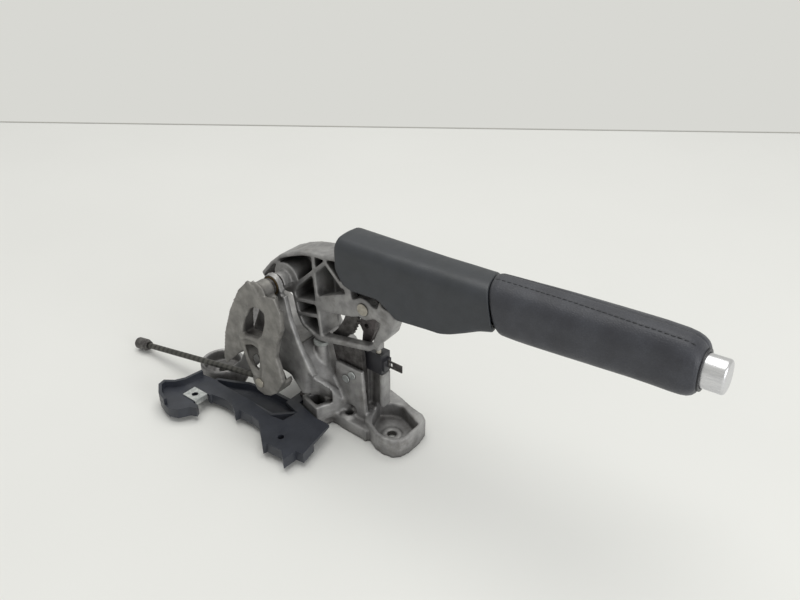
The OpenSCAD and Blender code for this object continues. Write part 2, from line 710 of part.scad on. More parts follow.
// The skirt sweeps back and out from the near edge of the cable lever
module ear_skirt() {
    w = cable_lever_wall;
    near_edge = scaled(skirt_near_shares, cable_drop, cable_drop);
    far_edge = scaled(skirt_far_shares, cable_drop, cable_drop);
    y0 = ear_y0 + over / 4;
    y1 = ear_y1 - over / 4;
    loft([for (i = [len(near_edge) - 1 : -1 : 0]) let (a = near_edge[i], b = far_edge[i])
        [[a[0] + w, y0, a[1]], [b[0], y1 - w, b[1]], [b[0], y1, b[1]], [a[0] + w, y0 + w, a[1]]]]);
}

module cable_lever() {
    color(cast_grey) at_pivot() difference() {
        union() {
            side(ear_y0, ear_y0 + cable_lever_wall) difference() {
                polygon(scaled(ear_shares, cable_drop, cable_drop));
                ear_windows();
            }
            side(ear_y0, ear_y1) difference() {
                ear_rim();
                translate([-cable_drop / 4, -0.08 * cable_drop]) square([cable_drop, cable_drop]);
            }
            ear_skirt();
            // Cross web between the two windows, with its raised bead
            side(ear_y0 + cable_lever_wall / 2, ear_y1)
                ribbon(scaled([[-0.27, -0.56], [-0.06, -0.53], [0.10, -0.50], [0.22, -0.48]], cable_drop, cable_drop),
                    cable_lever_wall);
            // Hub on the shaft, and its web down to the rim
            pin_y(sleeve_r + cable_lever_wall, ear_y0 + cable_lever_wall / 2, ear_y1);
            side(ear_y1 - cable_lever_wall, ear_y1)
                ribbon(scaled([[0, 0], [0.14, -0.10], [0.28, -0.16]], cable_drop, cable_drop), 3 * cable_lever_wall);
            translate([cable_pin_at[0], 0, cable_pin_at[1]]) pin_y(cable_lug_r, ear_y0, ear_y1);
            side(ear_y0, ear_y1) ribbon([cable_pin_at, [0.14 * cable_drop, -0.93 * cable_drop]], cable_lug_r);
        }
        pin_y(shaft_r, shaft_y0, 0);
        translate([cable_pin_at[0], 0, cable_pin_at[1]]) pin_y(cable_pin_r, ear_y0 - over, ear_y1 + over);
        // Fork slot, and the slot through the skirt that the rod swings in
        side(-cable_out - fork_gap / 2, -cable_out + fork_gap / 2) {
            translate(cable_pin_at) circle(r = cable_lug_r + part_gap);
            translate(cable_pin_at + [-3 * cable_lug_r, -cable_lug_r]) square([3 * cable_lug_r, 2 * cable_lug_r]);
            translate(cable_pin_at) rotate(-lever_travel) translate([-3 * cable_lug_r, -cable_lug_r])
                square([3 * cable_lug_r, 2 * cable_lug_r]);
        }
        side(ear_y0 + cable_lever_wall, -cable_out + fork_gap / 2 + over)
            swing_wedge(2 * cable_lug_r, rod_clear_r + over, swing_spare);
        side(ear_y0 + over / 2, -cable_out + fork_gap / 2 + 1.5 * over)
            swing_wedge(rod_clear_r, cable_drop, 0.8 * swing_spare);
    }
}

rod_clear_r = 0.40 * cable_drop;
swing_spare = 10;
module swing_wedge(r0, r1, spare) {
    low = 180 + rod_fall + spare;
    high = 180 - (lever_travel - rod_fall) - spare;
    translate(cable_pin_at) polygon([polar(r0, low), polar(r1, low), polar(r1, (low + high) / 2), polar(r1, high),
        polar(r0, high)]);
}

module cable_pin() {
    color(bright) at_pivot() translate([cable_pin_at[0], 0, cable_pin_at[1]]) {
        pin_y(cable_pin_r, ear_y0 - over, ear_y1 + 2 * over);
        pin_y(1.3 * cable_pin_r, ear_y0 - over, ear_y0);
    }
}

module cable_pin_clip() {
    color(bright) at_pivot() translate([cable_pin_at[0], 0, cable_pin_at[1]])
        ring_y(1.6 * cable_pin_r, cable_pin_r, ear_y1, ear_y1 + over);
}

// Pull rod, lying down from its pin until its nut just clears the floor

module at_rod() {
    at_pivot() translate([cable_pin_at[0], -cable_out, cable_pin_at[1]]) rotate([0, -rod_fall, 0]) children();
}

module cable_rod() {
    eye_r = cable_lug_r - cable_pin_r / 2;
    color("#4a4c48") at_rod() difference() {
        union() {
            rotate([0, 0, rod_yaw]) pin_x(rod_r, -rod_long + rod_nut_long / 2, -eye_r / 2);
            pin_y(eye_r, -rod_r, rod_r);
        }
        pin_y(cable_pin_r + run_gap, -rod_r - over, rod_r + over);
    }
}

module rod_nut() {
    color("#5e5e60") at_rod() rotate([0, 0, rod_yaw]) difference() {
        union() {
            pin_x(rod_nut_r, -rod_long, -rod_long + rod_nut_long);
            pin_x(0.8 * rod_nut_r, -rod_long + rod_nut_long, -rod_long + 1.3 * rod_nut_long);
        }
        pin_x(rod_r, -rod_long + rod_nut_long / 2, -rod_long + 2 * rod_nut_long);
    }
}

// Bracket casting. Side outlines are in shares of the pivot's distance back and of its height.
near_cheek_shares = [[0.90, 0.93], [0.84, 0.79], [0.75, 0.61], [0.655, 0.463], [0.645, 0.40], [0.66, 0.27],
    [0.735, 0.235], [0.86, 0.352], [1.08, 0.363],
    [1.24, 0.32], [1.40, 0.17], [1.52, 0.02], [1.70, 0.02], [1.66, 0.12], [1.50, 0.25], [1.30, 0.55],
    [1.14, 0.84], [1.08, 0.96]];
far_cheek_shares = [[0.90, 0.93], [0.84, 0.79], [0.75, 0.61], [0.655, 0.463], [0.572, 0.379], [0.47, 0.30],
    [0.47, 0.10], [0.60, 0], [1.28, 0], [1.24, 0.32], [1.16, 0.70], [1.08, 0.96]];
rim_shares = [[0.88, 0.95], [0.84, 0.79], [0.75, 0.61], [0.655, 0.463], [0.61, 0.415]];
// Near wall of the front arm, which bends in towards the small boss: its line on the floor and its side view
bend_plan_shares = [[-0.70, -0.262], [-0.66, -0.265], [-0.60, -0.252], [-0.555, -0.212], [-0.51, -0.14],
    [-0.467, -0.067], [-0.41, -0.022]];
bend_side_shares = [[0.70, 0.55], [0.655, 0.475], [0.60, 0.405], [0.555, 0.36], [0.51, 0.29], [0.467, 0.205],
    [0.41, 0.145], [0.40, 0.06], [0.54, 0.06], [0.57, 0.21], [0.70, 0.235]];
tray_shares = [[0.80, 0.59], [0.69, 0.52], [0.58, 0.375], [0.48, 0.21], [0.40, 0.12], [0.22, 0.105], [0.12, 0.085],
    [0.12, 0.05], [0.26, 0.06], [0.38, 0.07], [0.50, 0.19], [0.60, 0.335], [0.72, 0.48], [0.80, 0.545]];
tray_plan_shares = [[-0.12, 0.02], [-0.28, 0], [-0.41, -0.022], [-0.467, -0.067], [-0.51, -0.145],
    [-0.555, -0.222], [-0.62, -0.255], [-0.82, -0.265], [-0.82, 0.24], [-0.60, 0.36], [-0.40, 0.34], [-0.12, 0.26]];
rail_shares = [[0.17, 0.19], [-0.14, 0.29], [-0.46, 0.365], [-0.80, 0.45], [-1.16, 0.52]];
front_foot_shares = [[-0.10, -0.155], [-0.015, -0.195], [0.07, -0.205], [0.15, -0.19], [0.20, -0.148],
    [0.222, -0.067], [0.222, 0.10], [0.20, 0.20], [0.14, 0.243], [0.07, 0.255], [-0.11, 0.29], [-0.27, 0.333],
    [-0.33, 0.22], [-0.27, 0], [-0.20, -0.11]];
pocket_shares = [[-0.12, -0.11], [-0.17, -0.05], [-0.213, 0.066], [-0.228, 0.123], [-0.15, 0.192], [-0.062, 0.218],
    [0.027, 0.186], [0.12, 0.143], [0.185, 0.12], [0.185, -0.06], [0.165, -0.12], [0.13, -0.155], [0.06, -0.17],
    [-0.015, -0.16]];
rear_foot_at = [-1.81 * pivot_back, -0.25 * pivot_back];
far_foot_at = [-1.20 * pivot_back, 0.52 * pivot_back];
far_foot_r = 0.8 * rear_foot_r;
saddle_r = 0.50 * arm_reach + over;

module cheek(shares, y0, y1) {
    side(y0, y1) polygon(scaled(shares, -pivot_back, pivot_high));
    at_pivot() pin_y(pivot_boss_r, y0, y1);
}

module foot_ring(z1) {
    cylinder(r = 2.1 * bolt_r, h = z1);
}

module saddle() {
    at_pivot() side(-near_out + over, far_out - over) difference() {
        intersection() {
            circle(r = saddle_r + cast_wall, $fn = 72);
            polygon([[0, 0], polar(2 * saddle_r, -72), polar(3 * saddle_r, -110), polar(2 * saddle_r, -148)]);
        }
        circle(r = saddle_r, $fn = 72);
    }
}

// Sloping tray between the cheeks and the front foot
module tray() {
    intersection() {
        side(-near_out, 0.4 * pivot_back) polygon(scaled(tray_shares, -pivot_back, pivot_high));
        linear_extrude(pivot_high) polygon(scaled(tray_plan_shares, pivot_back, pivot_back));
    }
}

wall_z = 0.475 * pivot_high;
wall_x0 = -0.55 * pivot_back;
wall_x1 = -0.26 * pivot_back;
module sector_wall() {
    side(-plate_half - cast_wall, -plate_half)
        polygon([[wall_x0, 0.26 * pivot_high], [wall_x0, wall_z], [wall_x1, wall_z],
            [-0.22 * pivot_back, 0.085 * pivot_high], [-0.32 * pivot_back, 0.085 * pivot_high],
            [-0.35 * pivot_back, 0.165 * pivot_high], [-0.45 * pivot_back, 0.165 * pivot_high]]);
}

switch_y = [plate_half + 2 * over, plate_half + 12 * over];
switch_x = [-0.375 * pivot_back, -0.14 * pivot_back];
switch_z = [0.45 * pivot_high, 0.60 * pivot_high];

module switch_post() {
    x0 = switch_x[0] + cast_wall;
    difference() {
        translate([x0, switch_y[0], 0.06 * pivot_high])
            cube([switch_x[1] - x0 + over, switch_y[1] - switch_y[0], switch_z[0] - 0.06 * pivot_high]);
        translate([x0 + cast_wall, switch_y[0] - over, 0.16 * pivot_high])
            cube([switch_x[1] - x0 + over - 2 * cast_wall, (switch_y[1] - switch_y[0]) / 2, pivot_high]);
    }
}

stop_at = [-0.675 * pivot_back, -(arm_half + slot_half) / 2];
stop_r = 6;
beam_low = 0.438 * arm_reach;
stop_top = pivot_high - beam_low - part_gap;
buffer_thick = 3;

boss_at = [-0.40 * pivot_back, -0.075 * pivot_back];
boss_z = 0.10 * pivot_high;
boss_r = 6.5;
boss_hole_r = 3;

socket_at = [-0.66 * pivot_back, -0.19 * pivot_back];
socket_turn = -15;
socket_size = [21, 15];
socket_high = 0.18 * pivot_high;

module base_body() {
    cheek(near_cheek_shares, -near_out, -near_out + cast_wall);
    cheek(far_cheek_shares, far_out - cast_wall, far_out);
    at_pivot() {
        pin_y(pivot_boss_r, -near_out, -near_in);
        pin_y(pivot_boss_r, far_in, far_out);
    }
    side(-near_out, -near_out + 1.2 * cast_wall)
        ribbon(scaled(rim_shares, -pivot_back, pivot_high), 0.8 * cast_wall);
    intersection() {
        linear_extrude(pivot_high) ribbon(scaled(bend_plan_shares, pivot_back, pivot_back), 0.8 * cast_wall);
        side(-near_out, 0.4 * pivot_back) polygon(scaled(bend_side_shares, -pivot_back, pivot_high));
    }
    saddle();
    tray();
    sector_wall();
    switch_post();
    translate([stop_at[0], stop_at[1], 0.42 * pivot_high])
        cylinder(r = stop_r - over, h = stop_top - buffer_thick - 0.42 * pivot_high);
    linear_extrude(foot_high) polygon(scaled(front_foot_shares, pivot_back, pivot_back));
    linear_extrude(foot_high) ribbon(scaled(rail_shares, pivot_back, pivot_back), cast_wall);
    translate([rear_foot_at[0], rear_foot_at[1], 0]) cylinder(r = rear_foot_r, h = rear_foot_high);
    translate([far_foot_at[0], far_foot_at[1], 0]) cylinder(r = far_foot_r, h = rear_foot_high);
    // Plates that tie the far cheek to the rail and its foot
    linear_extrude(foot_floor) polygon([[-0.60 * pivot_back, far_out - cast_wall], [-0.45 * pivot_back, 0.36 * pivot_back],
        far_foot_at + [far_foot_r, 0], far_foot_at - [far_foot_r, 0], [-1.26 * pivot_back, far_out - cast_wall]]);
    // Plate with the small boss, and the near wall of the front arm
    linear_extrude(boss_z - over) polygon(scaled([[-0.14, -0.17], [-0.14, 0.2], [-0.5, 0.2], [-0.57, -0.15],
        [-0.50, -0.155], [-0.28, -0.165]], pivot_back, pivot_back));
    translate([boss_at[0], boss_at[1], 0]) cylinder(r = boss_r, h = boss_z + over);
    translate([socket_at[0], socket_at[1], 0]) rotate(socket_turn)
        translate([-socket_size[0] / 2, -socket_size[1] / 2, 0]) cube([socket_size[0], socket_size[1], socket_high]);
    linear_extrude(shelf_high - console_wall) ribbon([lug_at, socket_at], 4 * console_screw_r);
    translate([lug_at[0], lug_at[1], 0]) cylinder(r = 2.6 * console_screw_r, h = shelf_high - console_wall);
    // Low rib along the foot of the tray
    linear_extrude(0.15 * pivot_high) ribbon(scaled([[-0.42, 0.05], [-0.24, 0.01]], pivot_back, pivot_back),
        rib_thick / 2);
}

module base_bracket() {
    color(cast_grey) difference() {
        base_body();
        at_pivot() {
            pin_y(bush_r, -near_out - over, -near_in + over);
            pin_y(bush_r, far_in - over, far_out + over);
            for (p = rivet_at) translate([p[0], 0, p[1]]) pin_y(rivet_r, -arm_wide, arm_wide);
        }
        difference() {
            translate([0, 0, foot_floor]) linear_extrude(foot_high)
                polygon(scaled(pocket_shares, pivot_back, pivot_back));
            foot_ring(foot_floor + over);
        }
        difference() {
            translate([rear_foot_at[0], rear_foot_at[1], foot_floor])
                cylinder(r = rear_foot_r - cast_wall + over, h = pivot_high / 4);
            translate([rear_foot_at[0], rear_foot_at[1], 0]) foot_ring(foot_floor + over);
        }
        translate([far_foot_at[0], far_foot_at[1], foot_floor])
            cylinder(r = far_foot_r - cast_wall + over, h = rear_foot_high);
        for (p = [[0, 0], rear_foot_at, far_foot_at]) translate([p[0], p[1], -over])
            cylinder(r = bolt_r, h = foot_floor + 3 * over);
        translate([boss_at[0], boss_at[1], -over]) cylinder(r = boss_hole_r, h = boss_z + 3 * over);
        translate([socket_at[0], socket_at[1], -over]) rotate(socket_turn)
            translate([-socket_size[0] / 2 + cast_wall, -socket_size[1] / 2 + 0.8 * cast_wall, 0])
            cube([socket_size[0] - 2 * cast_wall, socket_size[1] - 1.6 * cast_wall, socket_high + 2 * over]);
        translate([switch_screw_at[0], switch_screw_at[1], switch_z[0] - 3 * over]) cylinder(r = screw_r, h = 4 * over);
        translate([lug_at[0], lug_at[1], recess_z]) cylinder(r = console_screw_r, h = pivot_high / 4);
        // Hollow below the plate of the front arm, round the small boss
        difference() {
            translate([0, 0, -over]) linear_extrude(boss_z - foot_floor) polygon(scaled([[-0.30, -0.10],
                [-0.30, 0.16], [-0.46, 0.16], [-0.47, -0.07]], pivot_back, pivot_back));
            translate([boss_at[0], boss_at[1], -2 * over]) cylinder(r = boss_r, h = boss_z + over);
        }
    }
}

module stop_buffer() {
    color("#8c8f8c") translate([stop_at[0], stop_at[1], stop_top - buffer_thick]) cylinder(r = stop_r, h = buffer_thick);
}

// Warning switch with its blade terminal
plunger_r = 1.8;
plunger_travel = 2;
plunger_at = [-pivot_back + tab_x + 0.02 * arm_reach, slot_half + 2 * plunger_r];
plunger_top = pivot_high + tab_low - part_gap;
screw_r = 1.5;
switch_screw_at = [switch_x[0] + cast_wall + 3 * screw_r, switch_y[1] - 2.2 * screw_r];
blade_z = (switch_z[0] + switch_z[1]) / 2;

module warning_switch() {
    color("#2c2c30") difference() {
        union() {
            translate([switch_x[0], switch_y[0], switch_z[0]])
                cube([switch_x[1] - switch_x[0], switch_y[1] - switch_y[0], switch_z[1] - switch_z[0]]);
            translate([switch_x[1], switch_y[0] + over, switch_z[0] + 3 * over])
                cube([2 * over, switch_y[1] - switch_y[0] - 2 * over, switch_z[1] - switch_z[0] - 8 * over]);
        }
        translate([plunger_at[0], plunger_at[1], switch_z[0] + 4 * over]) cylinder(r = plunger_r + part_gap, h = pivot_high);
        translate([switch_screw_at[0], switch_screw_at[1], switch_z[0] - over])
            cylinder(r = screw_r, h = 2 * (switch_z[1] - switch_z[0]));
        translate([switch_screw_at[0], switch_screw_at[1], switch_z[1] - 6 * over]) cylinder(r = 2 * screw_r, h = 7 * over);
        translate([switch_x[1] - 4 * over, blade_y, blade_z - blade_half]) cube([8 * over, blade_thick, 2 * blade_half]);
    }
}

blade_thick = 0.8;
blade_half = 3.1;
blade_long = 15;
blade_y = (switch_y[0] + switch_y[1]) / 2;
module switch_terminal() {
    color("#2a2a2a") difference() {
        translate([switch_x[1] - 4 * over, blade_y, blade_z - blade_half])
            cube([blade_long + 4 * over, blade_thick, 2 * blade_half]);
        translate([switch_x[1] + 3 * over, blade_y - over, blade_z - blade_half / 2])
            cube([blade_half, 3 * over, blade_half]);
    }
}

module switch_screw() {
    color(bright) translate([switch_screw_at[0], switch_screw_at[1], 0]) {
        translate([0, 0, switch_z[0] - 3 * over]) cylinder(r = screw_r, h = switch_z[1] - switch_z[0] - 3 * over);
        translate([0, 0, switch_z[1] - 6 * over]) cylinder(r = 1.8 * screw_r, h = 2 * over);
    }
}

module switch_plunger() {
    color("#b8b4a8") translate([plunger_at[0], plunger_at[1], switch_z[0] + 5 * over + plunger_travel])
        cylinder(r = plunger_r, h = plunger_top - switch_z[0] - 5 * over - plunger_travel);
}

// Plastic console bracket on the near side, its plan in shares of its length from its front end
console_x1 = -0.37 * pivot_back;
shelf_plan_shares = [[0.022, -0.427], [-0.021, -0.433], [-0.025, -0.513], [-0.078, -0.473], [-0.171, -0.48],
    [-0.178, -0.50], [-0.325, -0.387], [-0.381, -0.38], [-0.465, -0.387], [-0.471, -0.413], [-0.531, -0.377],
    [-0.598, -0.373], [-0.678, -0.387], [-0.691, -0.44], [-0.651, -0.513], [-0.685, -0.527], [-0.718, -0.58],
    [-0.765, -0.60], [-0.811, -0.593], [-0.871, -0.573], [-0.931, -0.527], [-0.938, -0.487], [-0.891, -0.453],
    [-0.865, -0.407], [-0.851, -0.30], [-0.758, -0.287], [-0.731, -0.293], [-0.591, -0.30], [-0.478, -0.297],
    [-0.305, -0.32], [-0.231, -0.307], [-0.218, -0.22], [-0.325, -0.193], [-0.325, -0.053], [-0.268, -0.047],
    [-0.268, -0.152], [-0.125, -0.191], [-0.025, -0.191]];
recess_plan_shares = [[-0.22, -0.22], [-0.311, -0.313], [-0.478, -0.308], [-0.771, -0.306], [-0.771, -0.267],
    [-0.665, -0.22], [-0.605, -0.187], [-0.485, -0.163], [-0.425, -0.157], [-0.275, -0.155], [-0.22, -0.17]];
lip_shares = [[-0.80, -0.587], [-0.866, -0.567], [-0.922, -0.524], [-0.929, -0.49], [-0.884, -0.457],
    [-0.857, -0.407], [-0.843, -0.307]];
recess_z = 0.30 * shelf_high;
lip_z = 1.40 * shelf_high;
skirt_z = 0.35 * shelf_high;
skirt_y = -0.335 * console_long;
plate_hole_at = [console_x1 - 0.15 * console_long, -0.404 * console_long];
lug_at = [-0.86 * pivot_back, -0.145 * pivot_back];
console_screw_r = 2;
clip_nut_at = [console_x1 - 0.742 * console_long, -0.444 * console_long];
clip_nut_size = [15, 12];
clip_leaf = 1;
clip_notch_x = clip_nut_at[0] + clip_nut_size[0] / 2 - clip_leaf - part_gap;
nut_hole_r = 2.5;

module console_layer(z0, z1) {
    translate([console_x1, 0, z0]) linear_extrude(z1 - z0) children();
}

module shelf_plan() {
    polygon(scaled(shelf_plan_shares, console_long, console_long));
}

module recess_plan() {
    polygon(scaled(recess_plan_shares, console_long, console_long));
}

module console_bracket() {
    color(plastic_dark) difference() {
        union() {
            console_layer(shelf_high - console_wall, shelf_high) shelf_plan();
            console_layer(skirt_z, shelf_high - console_wall / 2) difference() {
                shelf_plan();
                offset(delta = -console_wall) shelf_plan();
                translate([-2 * console_long, skirt_y]) square(4 * console_long);
            }
            console_layer(recess_z, recess_z + console_wall) recess_plan();
            console_layer(recess_z, shelf_high - console_wall / 3) difference() {
                recess_plan();
                offset(delta = -console_wall) recess_plan();
            }
            console_layer(shelf_high - console_wall, lip_z)
                ribbon(scaled(lip_shares, console_long, console_long), console_wall);
            translate([plate_hole_at[0], plate_hole_at[1], skirt_z]) cylinder(r = 2 * nut_hole_r, h = shelf_high - skirt_z);
        }
        translate([plate_hole_at[0], plate_hole_at[1], 0]) cylinder(r = nut_hole_r, h = pivot_high);
        translate([lug_at[0], lug_at[1], 0]) cylinder(r = console_screw_r, h = pivot_high);
        translate([clip_nut_at[0], clip_nut_at[1], 0]) cylinder(r = nut_hole_r + over / 2, h = pivot_high);
        translate([clip_notch_x, clip_nut_at[1] - clip_nut_size[1] / 2 - over, -over])
            cube([2 * clip_nut_size[0], clip_nut_size[1] + 2 * over, pivot_high]);
        translate([clip_nut_at[0] - clip_nut_size[0] / 2 - over, clip_nut_at[1] - clip_nut_size[1] / 2 - over, -over])
            cube([2 * clip_nut_size[0], clip_nut_size[1] + 2 * over, shelf_high - console_wall + over]);
    }
}

module clip_nut() {
    w = clip_nut_size[1];
    low = shelf_high - console_wall - clip_leaf;
    color("#c0c5c5") translate([clip_nut_at[0], clip_nut_at[1], 0]) difference() {
        union() {
            translate([-clip_nut_size[0] / 2, -w / 2, shelf_high]) cube([clip_nut_size[0], w, clip_leaf]);
            translate([-clip_nut_size[0] / 2, -w / 2, low]) cube([clip_nut_size[0], w, clip_leaf]);
            translate([clip_nut_size[0] / 2 - clip_leaf, -w / 2, low]) cube([clip_leaf, w, console_wall + 2 * clip_leaf]);
            translate([0, 0, low - 3 * clip_leaf]) cylinder(r = nut_hole_r + 1.5 * clip_leaf, h = 3.5 * clip_leaf);
        }
        cylinder(r = nut_hole_r, h = pivot_high);
    }
}

module console_screw() {
    color(steel_dark) translate([lug_at[0], lug_at[1], 0]) {
        translate([0, 0, recess_z]) cylinder(r = console_screw_r, h = shelf_high - recess_z);
        translate([0, 0, shelf_high]) cylinder(r = 1.8 * console_screw_r, h = console_screw_r);
    }
}

base_bracket();
ratchet_sector();
sector_rivets();
pivot_bushes();
stop_buffer();
warning_switch();
switch_terminal();
switch_screw();
switch_plunger();
console_bracket();
clip_nut();
console_screw();
lever_arm();
pivot_shaft();
pivot_sleeve();
shaft_clip();
cable_lever();
cable_pin();
cable_pin_clip();
pawl_pin();
pawl_pin_clip();
pawl();
handle_tube();
grip_core();
grip_sleeve();
nose_ring();
button_guide();
push_button();
release_rod();
rod_link_pin();
button_spring();
shroud_cover();
cover_pegs();
cable_rod();
rod_nut();
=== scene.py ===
"""Looks of the parking brake lever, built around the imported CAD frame.

The castings are softened copies of their CAD nodes, the grip is stitched leather, and every other
node gets rounded edges and a finish of its own. Lengths are in millimetres until they reach Blender.
"""

import json
import logging
import math
from dataclasses import dataclass, field
from enum import Enum
from typing import Any, Sequence

import bmesh
import bpy
import numpy as np
from mathutils import Matrix, Vector

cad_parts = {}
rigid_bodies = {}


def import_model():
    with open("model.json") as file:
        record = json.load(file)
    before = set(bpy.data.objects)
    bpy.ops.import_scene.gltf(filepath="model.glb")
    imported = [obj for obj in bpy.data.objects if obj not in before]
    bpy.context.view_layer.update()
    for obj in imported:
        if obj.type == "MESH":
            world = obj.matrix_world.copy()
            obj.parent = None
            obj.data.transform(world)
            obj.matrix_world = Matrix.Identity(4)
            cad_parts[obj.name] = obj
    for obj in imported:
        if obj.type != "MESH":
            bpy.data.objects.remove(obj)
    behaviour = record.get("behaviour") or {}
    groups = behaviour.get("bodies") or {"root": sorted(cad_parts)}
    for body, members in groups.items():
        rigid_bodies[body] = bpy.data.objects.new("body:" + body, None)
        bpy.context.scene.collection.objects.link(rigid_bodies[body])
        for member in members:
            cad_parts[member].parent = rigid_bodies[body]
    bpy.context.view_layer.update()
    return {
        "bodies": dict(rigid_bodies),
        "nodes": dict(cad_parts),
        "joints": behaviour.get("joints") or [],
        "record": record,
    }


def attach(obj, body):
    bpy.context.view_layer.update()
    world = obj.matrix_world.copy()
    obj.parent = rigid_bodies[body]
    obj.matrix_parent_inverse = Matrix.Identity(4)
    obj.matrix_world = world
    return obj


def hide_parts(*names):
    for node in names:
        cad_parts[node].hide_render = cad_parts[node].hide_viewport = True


LOG = logging.getLogger("brake_lever")
MM = 0.001
WELD = 2e-6  # metres: vertices closer than this are one
FLAT = math.radians(0.5)  # faces that meet at less than this are one
SHARP = math.radians(32)  # edges that turn more than this are rounded off
CREASE = math.radians(40)  # the same for the button, whose rim is rounded in its mesh
Socket = bpy.types.NodeSocket
Tree = bpy.types.NodeTree


class Body(Enum):
    """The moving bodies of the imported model."""

    BASE = "base"
    LEVER = "lever"
    BUTTON = "button"
    PAWL = "pawl"
    PULL_ROD = "pull_rod"
    PLUNGER = "plunger"


def linear(hex_colour: str) -> tuple[float, float, float, float]:
    """Turns an sRGB hex colour into the linear colour that a shader takes.

    Args:
        hex_colour: Colour such as "#8A8A88".

    Returns:
        Linear red, green, blue and an alpha of 1.
    """
    parts = [int(hex_colour[i : i + 2], 16) / 255 for i in (1, 3, 5)]
    lit = [c / 12.92 if c <= 0.04045 else ((c + 0.055) / 1.055) ** 2.4 for c in parts]
    return (lit[0], lit[1], lit[2], 1.0)


def per_metre(size_mm: float) -> float:
    """Texture scale on Object coordinates for a feature of this size in millimetres."""
    return 1 / (size_mm * MM)


def modify(piece: bpy.types.Object, name: str, kind: str, **settings: Any) -> None:
    """Adds a modifier of this kind to a piece and gives it its settings."""
    modifier = piece.modifiers.new(name, kind)
    for key, value in settings.items():
        setattr(modifier, key, value)


def add_node(tree: Tree, kind: str, settings: dict[Any, Any], links: dict[Any, Socket]) -> bpy.types.Node:
    """Adds a shader node with its settings and the links into it.

    Args:
        tree: Node tree of the material or world.
        kind: Blender's node type.
        settings: Node attributes by name, and socket values by socket name or number.
        links: Output sockets by the input socket that they feed.

    Returns:
        The new node.
    """
    node = tree.nodes.new(kind)
    for key, value in settings.items():
        if isinstance(key, str) and hasattr(node, key):
            setattr(node, key, value)
        else:
            node.inputs[key].default_value = value
    for key, source in links.items():
        tree.links.new(source, node.inputs[key])
    return node


@dataclass
class Shading:
    """A material that is being wired: its tree, its shader and its Object coordinates."""

    material: bpy.types.Material
    tree: Tree
    shader: bpy.types.Node
    place: Socket

    def noise(self, size_mm: float, detail: float, roughness: float = 0.55) -> Socket:
        """Cloudy pattern whose clouds are about size_mm across."""
        settings = {"Scale": per_metre(size_mm), "Detail": detail, "Roughness": roughness}
        return add_node(self.tree, "ShaderNodeTexNoise", settings, {"Vector": self.place}).outputs["Fac"]

    def stretched(self, factors: tuple[float, float, float]) -> Socket:
        """Object coordinates stretched along each axis by these factors."""
        node = add_node(self.tree, "ShaderNodeMapping", {"Scale": factors}, {"Vector": self.place})
        return node.outputs["Vector"]

    def bands(self, direction: str, apart_mm: float, turns: float) -> Socket:
        """Bands this far apart; the wave texture turns by 20 per unit along X and by 10 along a diagonal."""
        scale = per_metre(apart_mm) * math.tau / turns
        settings = {"wave_type": "BANDS", "bands_direction": direction, "Scale": scale}
        return add_node(self.tree, "ShaderNodeTexWave", settings, {"Vector": self.place}).outputs["Fac"]

    def openness(self, reach_mm: float) -> Socket:
        """How open a point is to its surroundings: 1 in the open, less in a hollow."""
        settings = {"samples": 8, "Distance": reach_mm * MM}
        return add_node(self.tree, "ShaderNodeAmbientOcclusion", settings, {}).outputs["AO"]

    def ramp(self, source: Socket, low: float, high: float, bottom: float, top: float) -> Socket:
        """Maps a pattern from low..high to bottom..top, held at both ends."""
        settings = {"From Min": low, "From Max": high, "To Min": bottom, "To Max": top}
        return add_node(self.tree, "ShaderNodeMapRange", settings, {"Value": source}).outputs["Result"]

    def blend(self, factor: Socket, first: Any, second: Any) -> Socket:
        """Mixes two colours, each a hex value or a socket, by a pattern."""
        settings: dict[Any, Any] = {"data_type": "RGBA"}
        links: dict[Any, Socket] = {0: factor}
        for number, colour in ((6, first), (7, second)):
            if isinstance(colour, str):
                settings[number] = linear(colour)
            else:
                links[number] = colour
        return add_node(self.tree, "ShaderNodeMix", settings, links).outputs[2]

    def mottle(self, pattern: Socket, low: float, high: float, first: Any, second: Any) -> Socket:
        """Patches of two colours: the first where the pattern is low, the second where it is high."""
        return self.blend(self.ramp(pattern, low, high, 0, 1), first, second)

    def bump(self, height: Socket, depth_mm: float, under: Socket | None = None) -> Socket:
        """Surface relief of this depth, laid over another relief if one is given."""
        links = {"Height": height}
        if under is not None:
            links["Normal"] = under
        settings = {"Strength": 1.0, "Distance": depth_mm * MM}
        return add_node(self.tree, "ShaderNodeBump", settings, links).outputs["Normal"]

    def feed(self, **sockets: Socket) -> None:
        """Links patterns to the shader's inputs, named with underscores for spaces."""
        for name, source in sockets.items():
            self.tree.links.new(source, self.shader.inputs[name.replace("_", " ")])

    def gloss(self, pattern: Socket, middle: float, below: float, above: float) -> None:
        """Lets the roughness wander with a pattern, from middle less below to middle plus above."""
        self.feed(Roughness=self.ramp(pattern, 0.3, 0.7, middle - below, middle + above))


@dataclass(frozen=True)
class Finish:
    """What every finish has: its name, whether it is metal, and its plain roughness."""

    name: str
    metallic: float
    roughness: float

    def start(self) -> Shading:
        """Makes the material with its constants on the shader's own sockets.

        Returns:
            The material's parts, ready for patterns.
        """
        material = bpy.data.materials.new(self.name)
        material.use_nodes = True
        tree = material.node_tree
        shader = tree.nodes["Principled BSDF"]
        shader.inputs["Metallic"].default_value = self.metallic
        shader.inputs["Roughness"].default_value = self.roughness
        place = add_node(tree, "ShaderNodeTexCoord", {}, {}).outputs["Object"]
        return Shading(material, tree, shader, place)

    def make(self) -> bpy.types.Material:
        """Makes the material; each finish has its own."""
        raise NotImplementedError


